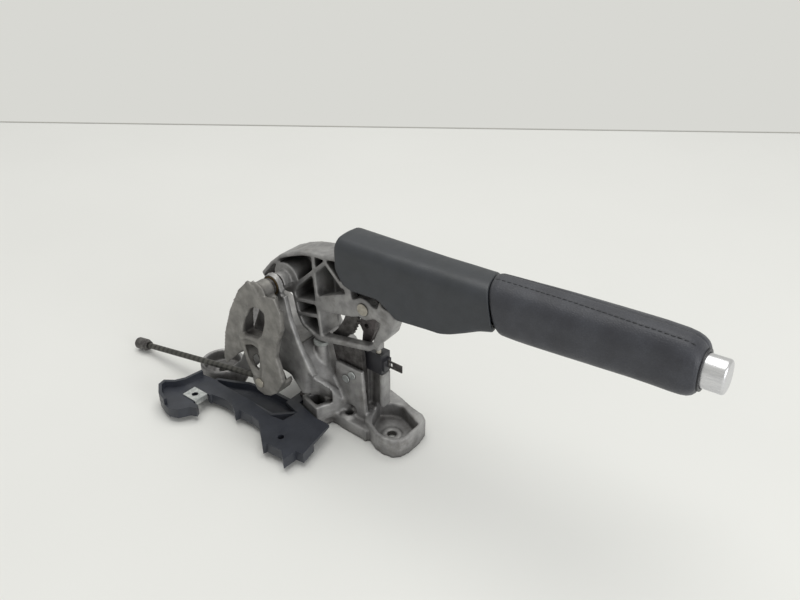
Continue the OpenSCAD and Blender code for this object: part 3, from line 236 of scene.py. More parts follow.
@dataclass(frozen=True)
class CastAluminium(Finish):
    """Pressure die-cast aluminium, tumbled: dull grey, cloudy, with faint grit and darker handling stains."""

    name: str = "die_cast_aluminium"
    metallic: float = 0.55
    roughness: float = 0.5
    light: str = "#A3A2A1"
    dark: str = "#868585"
    stain: str = "#67625D"
    # painted shade: the colour that hollows are darkened towards, standing in for the shade that falls in them
    hollow: str = "#3B3836"
    cloud_mm: float = 9.0
    stain_mm: float = 23.0
    hollow_shade_reach_mm: float = 13.0
    grit_mm: float = 0.55
    ripple_mm: float = 4.5

    def make(self) -> bpy.types.Material:
        """Cloudy greys, stains, painted shade darkening the hollows, and a cast grit of about half a millimetre.
        """
        s = self.start()
        clouds = s.mottle(s.noise(self.cloud_mm, 5), 0.35, 0.65, self.light, self.dark)
        stained = s.blend(s.ramp(s.noise(self.stain_mm, 8, 0.7), 0.53, 0.72, 0, 0.75), clouds, self.stain)
        # Painted shade: recesses within the reach are darkened towards the hollow colour.
        hollow_shade_mask = s.ramp(s.openness(self.hollow_shade_reach_mm), 0.30, 0.92, 0.85, 0)
        s.feed(Base_Color=s.blend(hollow_shade_mask, stained, self.hollow))
        s.gloss(s.noise(3, 4), self.roughness, 0.08, 0.12)
        grit = s.bump(s.noise(self.grit_mm, 3), 0.10)
        s.feed(Normal=s.bump(s.noise(self.ripple_mm, 2), 0.16, grit))
        return s.material


@dataclass(frozen=True)
class PhosphatedSteel(Finish):
    """Stamped and phosphated steel: dark grey with a brownish cast and a soft shine."""

    name: str = "phosphated_steel"
    metallic: float = 0.8
    roughness: float = 0.42
    light: str = "#6A6867"
    dark: str = "#474443"
    patch_mm: float = 6.0
    grain_mm: float = 0.4

    def make(self) -> bpy.types.Material:
        """Patchy dark greys with a fine crystalline grain."""
        s = self.start()
        s.feed(Base_Color=s.mottle(s.noise(self.patch_mm, 6, 0.65), 0.38, 0.62, self.light, self.dark))
        s.gloss(s.noise(1.6, 4), self.roughness, 0.08, 0.12)
        s.feed(Normal=s.bump(s.noise(self.grain_mm, 2), 0.03))
        return s.material


@dataclass(frozen=True)
class ThreadedSteel(Finish):
    """Blackened steel rod whose rolled thread is drawn as rings, coarser than real so that they show."""

    name: str = "threaded_steel"
    metallic: float = 0.7
    roughness: float = 0.45
    light: str = "#54534F"
    dark: str = "#3B3A37"
    ring_mm: float = 5.655
    dirt_mm: float = 12.0

    def make(self) -> bpy.types.Material:
        """Rings along X with painted shade darkening the grooves between them, and patches of dirt."""
        s = self.start()
        thread = s.bands("X", self.ring_mm, 20)
        # Painted shade: the grooves between the rings are coloured dark; the dirt patches below are the rod's
        # own.
        tone = s.blend(s.ramp(thread, 0.1, 0.7, 1, 0), self.light, self.dark)
        s.feed(Base_Color=s.blend(s.ramp(s.noise(self.dirt_mm, 5), 0.45, 0.7, 0, 0.6), tone, self.dark))
        s.feed(Normal=s.bump(thread, 0.12))
        return s.material


@dataclass(frozen=True)
class ZincPlate(Finish):
    """Zinc-plated steel: pale, cool and slightly clouded."""

    name: str = "zinc_plated_steel"
    metallic: float = 0.9
    roughness: float = 0.33
    light: str = "#D2D5D4"
    dark: str = "#9FA3A3"
    cloud_mm: float = 5.0
    grain_mm: float = 0.5

    def make(self) -> bpy.types.Material:
        """Clouded plating with a faint grain."""
        s = self.start()
        s.feed(Base_Color=s.mottle(s.noise(self.cloud_mm, 6, 0.7), 0.36, 0.68, self.light, self.dark))
        s.gloss(s.noise(2, 3), self.roughness, 0.07, 0.15)
        s.feed(Normal=s.bump(s.noise(self.grain_mm, 2), 0.02))
        return s.material


@dataclass(frozen=True)
class SinteredBronze(Finish):
    """Oil-filled sintered bronze: brownish, matt and slightly porous."""

    name: str = "sintered_bronze"
    metallic: float = 0.8
    roughness: float = 0.5
    light: str = "#7D6A4A"
    dark: str = "#54452F"
    pore_mm: float = 0.5

    def make(self) -> bpy.types.Material:
        """Warm brown with open pores, drawn larger than real so that they show."""
        s = self.start()
        s.feed(Base_Color=s.blend(s.noise(1.2, 4), self.light, self.dark))
        s.feed(Normal=s.bump(s.noise(self.pore_mm, 2), 0.05))
        return s.material


@dataclass(frozen=True)
class MouldedPlastic(Finish):
    """Injection-moulded plastic with an eroded grain, which breaks the shine and catches light at edges."""

    name: str = "grained_polypropylene"
    metallic: float = 0.0
    roughness: float = 0.43
    light: str = "#33363B"
    dark: str = "#2D3034"
    grain_mm: float = 0.7
    grain_depth_mm: float = 0.07
    dust_mm: float = 16.0

    def make(self) -> bpy.types.Material:
        """Rounded grain cells, a faint dusting on the colour and a small change of gloss."""
        s = self.start()
        s.feed(Base_Color=s.mottle(s.noise(self.dust_mm, 6, 0.6), 0.35, 0.65, self.light, self.dark))
        s.gloss(s.noise(7, 4), self.roughness, 0.05, 0.07)
        settings = {"feature": "SMOOTH_F1", "Scale": per_metre(self.grain_mm), "Smoothness": 0.6}
        cells = add_node(s.tree, "ShaderNodeTexVoronoi", settings, {"Vector": s.place}).outputs["Distance"]
        s.feed(Normal=s.bump(cells, self.grain_depth_mm))
        return s.material


@dataclass(frozen=True)
class Rubber(Finish):
    """Moulded rubber of the stop: matt, greyish and dusty."""

    name: str = "moulded_rubber"
    metallic: float = 0.0
    roughness: float = 0.8
    light: str = "#8E918E"
    dark: str = "#707370"

    def make(self) -> bpy.types.Material:
        """Grey rubber with a dusty bloom."""
        s = self.start()
        s.feed(Base_Color=s.mottle(s.noise(4, 5), 0.4, 0.7, self.light, self.dark))
        s.feed(Normal=s.bump(s.noise(0.6, 3), 0.05))
        return s.material


@dataclass(frozen=True)
class GripLeather(Finish):
    """Finished cowhide, stretched over the grip: pebbled grain, a soft sheen and painted shade darkening the
    groove at the seam.
    """

    name: str = "black_leather"
    metallic: float = 0.0
    roughness: float = 0.47
    light: str = "#3A3C43"
    dark: str = "#292A31"
    # painted shade: the colour that the seam's groove is darkened towards
    groove: str = "#101114"
    pebble_mm: float = 1.25
    patch_mm: float = 14.0
    groove_shade_reach_mm: float = 2.5
    crease_mm: float = 2.6

    def make(self) -> bpy.types.Material:
        """Pebbles of just over a millimetre with fine creases between them; painted shade darkens the creases
        and the seam's groove.
        """
        s = self.start()
        settings = {"feature": "DISTANCE_TO_EDGE", "Scale": per_metre(self.pebble_mm)}
        cells = add_node(s.tree, "ShaderNodeTexVoronoi", settings, {"Vector": s.stretched((0.8, 1.1, 1.1))})
        pebbles = s.ramp(cells.outputs["Distance"], 0.0, 0.28, 0, 1)
        tone = s.mottle(s.noise(self.patch_mm, 6), 0.35, 0.7, self.light, self.dark)
        # Painted shade: the creases between the pebbles are darkened towards the dark tone.
        grain_and_crease_shade = s.blend(s.ramp(pebbles, 0, 0.5, 0.55, 0), tone, self.dark)
        # Painted shade: the seam's groove and other tight hollows are darkened towards the groove colour.
        sunk = s.ramp(s.openness(self.groove_shade_reach_mm), 0.5, 0.95, 0.9, 0)
        s.feed(Base_Color=s.blend(sunk, grain_and_crease_shade, self.groove))
        s.gloss(s.noise(9, 4), self.roughness, 0.05, 0.08)
        creases = s.bump(s.noise(self.crease_mm, 5, 0.65), 0.12)
        s.feed(Normal=s.bump(pebbles, 0.07, creases))
        s.shader.inputs["Sheen Weight"].default_value = 0.08
        s.shader.inputs["Sheen Roughness"].default_value = 0.5
        return s.material


@dataclass(frozen=True)
class SewingThread(Finish):
    """Bonded polyester thread, a little darker than the leather."""

    name: str = "polyester_thread"
    metallic: float = 0.0
    roughness: float = 0.6
    light: str = "#2A2B30"
    dark: str = "#1C1D21"
    change_mm: float = 8.294

    def make(self) -> bpy.types.Material:
        """Tone and relief that change from stitch to stitch."""
        s = self.start()
        twist = s.bands("DIAGONAL", self.change_mm, 10)
        s.feed(Base_Color=s.blend(twist, self.light, self.dark))
        s.feed(Normal=s.bump(twist, 0.08))
        return s.material


@dataclass(frozen=True)
class SatinAluminium(Finish):
    """Turned and anodised aluminium of the button: bright satin with fine lines along its length."""

    name: str = "satin_anodised_aluminium"
    metallic: float = 1.0
    roughness: float = 0.3
    light: str = "#DADADC"
    dark: str = "#C9C9CC"
    line_mm: float = 0.35

    def make(self) -> bpy.types.Material:
        """Fine lengthwise lines in gloss and tone."""
        s = self.start()
        settings = {"Scale": per_metre(self.line_mm), "Detail": 3.0}
        links = {"Vector": s.stretched((0.06, 1.0, 1.0))}
        lines = add_node(s.tree, "ShaderNodeTexNoise", settings, links).outputs["Fac"]
        s.feed(Base_Color=s.mottle(lines, 0.35, 0.65, self.light, self.dark))
        s.gloss(lines, self.roughness, 0.06, 0.08)
        s.feed(Normal=s.bump(lines, 0.01))
        return s.material


@dataclass(frozen=True)
class TableLaminate(Finish):
    """Pale laminate of the table: even and matt."""

    name: str = "pale_laminate"
    metallic: float = 0.0
    roughness: float = 0.75
    light: str = "#E9E9E5"
    dark: str = "#E4E4E0"
    mottle_mm: float = 220.0

    def make(self) -> bpy.types.Material:
        """Nearly even, with a broad faint mottle."""
        s = self.start()
        s.feed(Base_Color=s.blend(s.noise(self.mottle_mm, 2), self.light, self.dark))
        s.shader.inputs["Specular IOR Level"].default_value = 0.2
        return s.material


class Finishes:
    """One material of each finish, made once and shared by the pieces."""

    def __init__(self) -> None:
        """Makes every finish of the lever."""
        self.casting = CastAluminium().make()
        # A darker copy of the same die-cast aluminium for the cable lever: painted shade for its near face,
        # which stands in shade.
        self.shaded_ear_casting = CastAluminium(
            name="die_cast_aluminium_ear_shaded", light="#8F8D89", dark="#74726F", stain="#5C5853"
        ).make()
        self.steel = PhosphatedSteel().make()
        self.pawl_steel = PhosphatedSteel(name="hardened_steel", light="#5C5758", dark="#3D3839").make()
        self.thread_steel = ThreadedSteel().make()
        self.zinc = ZincPlate().make()
        self.worn_zinc = ZincPlate(
            name="passivated_zinc", light="#B4AFA4", dark="#8D887E", metallic=0.7, roughness=0.42
        ).make()
        self.bronze = SinteredBronze().make()
        self.rubber = Rubber().make()
        self.shroud = MouldedPlastic().make()
        self.console = MouldedPlastic(
            name="moulded_abs", light="#33363E", dark="#272A31", roughness=0.4, grain_mm=0.9,
            grain_depth_mm=0.05,
        ).make()
        self.nylon = MouldedPlastic(
            name="black_nylon", light="#2E2E33", dark="#242428", roughness=0.4, grain_depth_mm=0.03
        ).make()
        self.pale_nylon = MouldedPlastic(
            name="natural_nylon", light="#C5C0B4", dark="#B4AFA3", roughness=0.4, grain_depth_mm=0.02
        ).make()
        self.leather = GripLeather().make()
        self.sewing = SewingThread().make()
        self.satin = SatinAluminium().make()
        self.table = TableLaminate().make()


@dataclass
class Workshop:
    """The loaded CAD frame, the finishes and what is shared by the builders of the pieces."""

    nodes: dict[str, bpy.types.Object]
    finishes: Finishes
    slots: dict[str, str]
    count: int = 0

    def piece(self, name: str, bm: bmesh.types.BMesh, material: bpy.types.Material) -> bpy.types.Object:
        """Makes an object from a bmesh whose vertices are already in the shared frame.

        Args:
            name: Piece name.
            bm: The finished bmesh, in metres; it is freed.
            material: Its finish.

        Returns:
            The linked object at the origin.
        """
        mesh = bpy.data.meshes.new(name)
        bm.to_mesh(mesh)
        bm.free()
        mesh.materials.append(material)
        mesh.shade_smooth()
        piece = bpy.data.objects.new(name, mesh)
        bpy.context.scene.collection.objects.link(piece)
        return piece

    def merged(self, *names: str) -> bmesh.types.BMesh:
        """Copy of CAD nodes' meshes with their loose triangles joined and flat faces made whole."""
        bm = bmesh.new()
        for name in names:
            bm.from_mesh(self.nodes[name].data)
        bmesh.ops.remove_doubles(bm, verts=bm.verts, dist=WELD)
        bmesh.ops.dissolve_limit(
            bm, angle_limit=FLAT, use_dissolve_boundaries=False, verts=bm.verts, edges=bm.edges
        )
        return bm

    @staticmethod
    def evaluated(piece: bpy.types.Object) -> bpy.types.Mesh:
        """New mesh of a piece with its modifiers applied."""
        return bpy.data.meshes.new_from_object(piece.evaluated_get(bpy.context.evaluated_depsgraph_get()))

    def settle(self, piece: bpy.types.Object, body: Body, *replaced: str) -> None:
        """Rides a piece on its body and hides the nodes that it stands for."""
        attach(piece, body.value)
        if replaced:
            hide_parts(*replaced)
        self.count += 1
        LOG.info("%s rides on %s", piece.name, body.value)

    def rounded(self, node: str, body: Body, material: bpy.types.Material, edge_mm: float) -> None:
        """Stands a copy of a CAD node in its place with rounded edges and a finish.

        Args:
            node: CAD node.
            body: Body it rides on.
            material: Finish.
            edge_mm: Width of the rounded edges.
        """
        piece = self.piece(node + "_part", self.merged(node), material)
        piece.data.set_sharp_from_angle(angle=SHARP)
        modify(
            piece, "edges", "BEVEL", width=edge_mm * MM, segments=2, limit_method="ANGLE", angle_limit=SHARP,
            harden_normals=True,
        )
        self.settle(piece, body, node)

    def dress(self, rows: dict[Body, Sequence[tuple[str, bpy.types.Material, float]]]) -> None:
        """Rounds nodes by a width and gives each its finish, body by body."""
        for body, nodes in rows.items():
            for node, material, edge_mm in nodes:
                self.rounded(node, body, material, edge_mm)

    def carved(self, node: str, cuts: Sequence[bmesh.types.BMesh]) -> bmesh.types.BMesh:
        """Copy of a CAD node's mesh with blocks cut away from it.

        Args:
            node: CAD node.
            cuts: Blocks to take away; they are freed.

        Returns:
            The cut mesh, still in the node's place.
        """
        body = self.piece(node + "_blank", self.merged(node), self.finishes.casting)
        knives = [self.piece(node + "_knife", cut, self.finishes.casting) for cut in cuts]
        for knife in knives:
            modify(body, "carve", "BOOLEAN", operation="DIFFERENCE", solver="EXACT", object=knife)
        mesh = self.evaluated(body)
        bm = bmesh.new()
        bm.from_mesh(mesh)
        bpy.data.meshes.remove(mesh)
        for thing in [body, *knives]:
            spare = thing.data
            bpy.data.objects.remove(thing)
            bpy.data.meshes.remove(spare)
        return bm

    def cast(self, node: str, body: Body, material: bpy.types.Material, grain_mm: float,
             cuts: Sequence[bmesh.types.BMesh], added: Sequence[bmesh.types.BMesh]) -> None:
        """Stands a casting in place of its CAD node, with every edge and corner softened as a die leaves it.

        Args:
            node: CAD node of the casting.
            body: Body it rides on.
            material: Finish.
            grain_mm: Size of the cells that the skin is rebuilt from.
            cuts: Blocks that are cut away first.
            added: Extra cast detail that is fused on.
        """
        piece = self.piece(node + "_cast", pour(self.carved(node, cuts), added), material)
        modify(piece, "skin", "REMESH", mode="VOXEL", voxel_size=grain_mm * MM)
        modify(piece, "soft", "SMOOTH", factor=0.5, iterations=4)
        mesh = self.evaluated(piece)
        piece.modifiers.clear()
        piece.data = mesh
        mesh.name = node + "_cast"
        mesh.materials.clear()
        mesh.materials.append(material)
        mesh.shade_smooth()
        self.settle(piece, body, node)
        LOG.info("%s has %d faces", piece.name, len(mesh.polygons))


def skin(rows: Sequence[Sequence[tuple[float, float, float]]]) -> bmesh.types.BMesh:
    """Draws a skin through closed rings of points that all have the same number of points.

    Args:
        rows: Rings in the order in which the skin passes them.

    Returns:
        The open-ended skin with its normals outward.
    """
    bm = bmesh.new()
    bmesh.ops.create_circle(bm, cap_ends=False, segments=len(rows[0]), radius=1.0)
    ring = sorted(bm.verts, key=lambda v: math.atan2(v.co.y, v.co.x) % (2 * math.pi))
    edges = list(bm.edges)
    for number, row in enumerate(rows):
        if number:
            made = bmesh.ops.extrude_edge_only(bm, edges=edges)["geom"]
            fresh = {g for g in made if isinstance(g, bmesh.types.BMVert)}
            after = {o: v for v in fresh for e in v.link_edges for o in e.verts if o not in fresh}
            ring = [after[v] for v in ring]
            edges = [g for g in made if isinstance(g, bmesh.types.BMEdge) and all(v in fresh for v in g.verts)]
        for vert, point in zip(ring, row):
            vert.co = point
    bmesh.ops.recalc_face_normals(bm, faces=bm.faces)
    return bm


def block(rows: Sequence[Sequence[tuple[float, float, float]]]) -> bmesh.types.BMesh:
    """Closed block through rings of points, in metres.

    Args:
        rows: Rings in millimetres of the shared frame.

    Returns:
        The block with both ends filled.
    """
    bm = skin(rows)
    bmesh.ops.holes_fill(bm, edges=bm.edges)
    bmesh.ops.triangulate(bm, faces=bm.faces)
    bmesh.ops.recalc_face_normals(bm, faces=bm.faces)
    bm.transform(Matrix.Scale(MM, 4))
    return bm


def slab(outline: Sequence[tuple[float, float]], y0: float, y1: float) -> bmesh.types.BMesh:
    """Block between two sideways places with this outline in X and Z."""
    return block([[(x, y, z) for x, z in outline] for y in (y0, y1)])


def collar(centre: tuple[float, float], radii: tuple[float, float], y0: float, y1: float,
           turn: tuple[float, float] = (0.0, 359.0)) -> bmesh.types.BMesh:
    """Ring or part of a ring about an axis along Y, for trimming a boss."""
    angles = [math.radians(a) for a in np.linspace(turn[0], turn[1], 49)]
    outer = [(radii[1], a) for a in angles]
    inner = [(radii[0], a) for a in reversed(angles)]
    return slab([(centre[0] + r * math.cos(a), centre[1] + r * math.sin(a)) for r, a in outer + inner], y0, y1)


def ridge(points: Sequence[tuple[float, float, float]], radius: float) -> bmesh.types.BMesh:
    """Round bead along a path, in metres, for fusing onto a casting."""
    bm = bmesh.new()
    for a, b in zip(points, points[1:]):
        start, end = Vector(a) * MM, Vector(b) * MM
        turn = (end - start).to_track_quat("Z", "Y").to_matrix().to_4x4()
        bmesh.ops.create_cone(
            bm, cap_ends=True, segments=12, radius1=radius * MM, radius2=radius * MM,
            depth=(end - start).length, matrix=Matrix.Translation((start + end) / 2) @ turn,
        )
    for point in points:
        bmesh.ops.create_uvsphere(
            bm, u_segments=12, v_segments=8, radius=radius * MM, matrix=Matrix.Translation(Vector(point) * MM)
        )
    return bm


def pour(target: bmesh.types.BMesh, parts: Sequence[bmesh.types.BMesh]) -> bmesh.types.BMesh:
    """Adds every part's mesh to the target and frees the parts."""
    for part in parts:
        extra = bpy.data.meshes.new("extra")
        part.to_mesh(extra)
        part.free()
        target.from_mesh(extra)
        bpy.data.meshes.remove(extra)
    return target


def row_at(table: Sequence[Sequence[float]], x: float) -> list[float]:
    """Reads a table at a station: its first column holds the stations, the others are interpolated."""
    columns = list(zip(*table))
    return [float(np.interp(x, columns[0], column)) for column in columns[1:]]


def corner(
    centre: tuple[float, float], radius: float, start_deg: float, steps: int
) -> list[tuple[float, float]]:
    """Points of a quarter circle that turns clockwise from an angle, without its first point."""
    angles = np.radians(np.linspace(start_deg, start_deg - 90, steps + 1))[1:]
    return [(centre[0] + radius * math.cos(a), centre[1] + radius * math.sin(a)) for a in angles]


@dataclass
class HandleAxes:
    """The handle's own axes: X along the grip, tilted up from the shared frame."""

    origin_mm: tuple[float, float, float] = (-10.0, 0.0, 147.0)
    tilt_deg: float = 2.5

    def matrix(self) -> Matrix:
        """Transform from handle millimetres to shared metres."""
        turn = Matrix.Rotation(-math.radians(self.tilt_deg), 4, "Y")
        return Matrix.Scale(MM, 4) @ Matrix.Translation(self.origin_mm) @ turn


@dataclass
class LeatherGrip:
    """Stitched leather sleeve: an oval skin with a lapped seam along its top and a row of stitches."""

    shop: Workshop
    axes: HandleAxes = field(default_factory=HandleAxes)
    start_mm: float = 92.4
    end_mm: float = 217.5
    lean: tuple[float, float] = (-0.26, -0.21)
    lean_long: float = 24.0
    squareness: float = 0.7
    thick_mm: float = 0.9
    columns: int = 84
    profile: Sequence[tuple[float, float, float, float]] = (
        (92.4, 13.9, -13.2, 12.9), (93.4, 15.4, -15.7, 13.5), (94.8, 16.4, -17.2, 13.9),
        (97.0, 17.1, -17.9, 14.1), (102, 17.4, -18.0, 14.3), (110, 17.7, -18.0, 14.6), (120, 18.0, -17.8, 14.9),
        (135, 18.4, -17.2, 15.0), (151, 18.7, -16.6, 14.9), (166, 18.9, -16.1, 14.7), (181, 19.2, -15.7, 14.2),
        (193, 19.3, -15.7, 13.9), (205, 18.9, -16.0, 13.5), (210, 18.0, -15.8, 13.3), (213.2, 16.8, -15.2, 12.9),
        (215.6, 15.0, -13.9, 12.2), (217.0, 13.0, -12.2, 11.4), (217.5, 11.8, -11.2, 10.9),
    )
    seam_profile: Sequence[tuple[float, float]] = (
        (88, 5.6), (99, 4.8), (118, 3.9), (144, 3.0), (165, 2.0), (184, 0.9), (203, 0.7), (217.5, 2.2),
    )
    start_rows: Sequence[tuple[float, float]] = (
        (2.0, 0.84), (0.5, 0.90), (0.1, 0.95), (0.0, 0.975), (0.2, 0.993), (0.7, 1.0),
    )
    end_rows: Sequence[tuple[float, float]] = ((0.1, 0.93), (-0.6, 0.88), (-3.0, 0.87))
    gathers: int = 9
    gather_share: float = 0.0093
    gather_mm: float = 4.0
    lap_fade_mm: float = 8.0
    lap_at_end: float = 0.35
    stitch_arc: float = 7.5
    stitch_step: float = 3.5
    stitch_half: tuple[float, float, float] = (1.30, 0.36, 0.34)
    stitch_slant_deg: float = 7.0
    stitch_lift: float = 0.12
    lap: Sequence[tuple[float, float]] = (
        (0.0, -0.80), (0.25, 0.20), (0.6, 0.50), (1.1, 0.58), (2.4, 0.58), (4.4, 0.54), (6.4, 0.42), (7.1, 0.16),
        (7.5, 0.0), (7.9, 0.14), (8.5, 0.28), (9.6, 0.24), (11.0, 0.10), (12.6, 0.0),
    )
    far_side: Sequence[tuple[float, float]] = ((4.8, 0.0), (3.2, 0.12), (2.3, 0.18), (1.75, 0.0), (1.3, -0.65))

    def section(self, x: float) -> tuple[float, float, float, float]:
        """Half width, half height, middle height and the seam's sideways place at a station."""
        top, bottom, wide = row_at(self.profile, x)
        return wide, (top - bottom) / 2, (top + bottom) / 2, row_at(self.seam_profile, x)[0]

    def ring(self, x: float, shrink: float = 1.0) -> list[tuple[float, float, float]]:
        """Points round the sleeve at a station, starting at the seam and going down the near side.

        Args:
            x: Station along the handle.
            shrink: Share of the section that is kept, about its own middle.

        Returns:
            The points in handle millimetres, with the lap's relief and the lean of the front edge.
        """
        wide, high, middle, seam = self.section(x)
        half_turn = 720
        t = np.linspace(0, 2 * math.pi, 2 * half_turn + 1)
        y = wide * np.sign(np.cos(t)) * np.abs(np.cos(t)) ** self.squareness
        z = high * np.sign(np.sin(t)) * np.abs(np.sin(t)) ** self.squareness
        length = np.concatenate([[0], np.cumsum(np.hypot(np.diff(y), np.diff(z)))])
        upper = slice(0, half_turn + 1)
        start = float(np.interp(-seam, -y[upper], length[upper]))
        near = [a for a, _ in self.lap]
        far = [a for a, _ in self.far_side]
        plain = self.columns - len(near) - len(far)
        total = float(length[-1])
        rest = np.linspace(near[-1], total - far[0], plain + 2)[1:-1]
        arcs = np.concatenate([near, rest, [total - a for a in far]])
        relief = np.concatenate([[r for _, r in self.lap], np.zeros(plain), [r for _, r in self.far_side]])
        fade = min(1.0, max(0.0, (self.end_mm - x) / self.lap_fade_mm))
        at = np.mod(start + arcs, total)
        py, pz = np.interp(at, length, y), np.interp(at, length, z)
        ny, nz = py / wide**2, pz / high**2
        lift = relief * (self.lap_at_end + (1 - self.lap_at_end) * fade) / np.hypot(ny, nz)
        py, pz = (py + ny * lift) * shrink, (pz + nz * lift) * shrink + middle
        shift = max(0.0, 1 - (x - self.start_mm) / self.lean_long)
        px = x + shift * (self.lean[0] * py + self.lean[1] * pz)
        return [(float(a), float(b), float(c)) for a, b, c in zip(px, py, pz)]

    def gathered(self, point: tuple[float, float, float], x: float) -> tuple[float, float, float]:
        """Adds the small gathers of the leather where it is turned in at the button end."""
        near_end = max(0.0, 1 - abs(x - self.end_mm + self.gather_mm / 2) / self.gather_mm)
        fold = 1 + self.gather_share * math.sin(self.gathers * math.atan2(point[2], point[1])) * near_end
        return (point[0], point[1] * fold, point[2] * fold)

    def build(self) -> None:
        """Makes the sleeve and its stitches, and stands them for the CAD's plain sleeve."""
        rows = [(self.start_mm + ahead, scale) for ahead, scale in self.start_rows]
        rows += [(float(x), 1.0) for x in np.arange(self.start_mm + 1.4, self.end_mm - 9, 1.6)]
        rows += [(float(x), 1.0) for x in np.linspace(self.end_mm - 8.5, self.end_mm, 16)]
        rings = [[self.gathered(p, x) for p in self.ring(x, scale)] for x, scale in rows]
        for back, scale in self.end_rows:
            rings.append([(px + back, py, pz) for px, py, pz in self.ring(self.end_mm, scale)])
        bm = skin(rings)
        bm.transform(self.axes.matrix())
        sleeve = self.shop.piece("leather_sleeve", bm, self.shop.finishes.leather)
        modify(sleeve, "thickness", "SOLIDIFY", thickness=self.thick_mm * MM, offset=-1)
        self.shop.settle(sleeve, Body.LEVER, "grip_sleeve")
        self.stitches()

    def stitches(self) -> None:
        """Sews the row of stitches into the lap, a little sunk, each with the thread's slant."""
        bm = bmesh.new()
        stations = np.arange(self.start_mm + 4, self.end_mm - 4, self.stitch_step)
        column = [a for a, _ in self.lap].index(self.stitch_arc)
        for x in stations:
            here, ahead = (Vector(self.ring(float(x) + step)[column]) for step in (0.0, 1.0))
            turn = (ahead - here).normalized().to_track_quat("X", "Z").to_matrix().to_4x4()
            twist = Matrix.Rotation(math.radians(self.stitch_slant_deg), 4, "Z")
            size = Matrix.Diagonal((*self.stitch_half, 1.0))
            place = Matrix.Translation(here + Vector((0, 0, self.stitch_lift)))
            bmesh.ops.create_uvsphere(
                bm, u_segments=10, v_segments=6, radius=1.0,
                matrix=place @ turn @ twist @ size @ Matrix.Rotation(math.pi / 2, 4, "Y"),
            )
        bm.transform(self.axes.matrix())
        thread = self.shop.piece("seam_stitches", bm, self.shop.finishes.sewing)
        self.shop.settle(thread, Body.LEVER)
        LOG.info("%d stitches", len(stations))


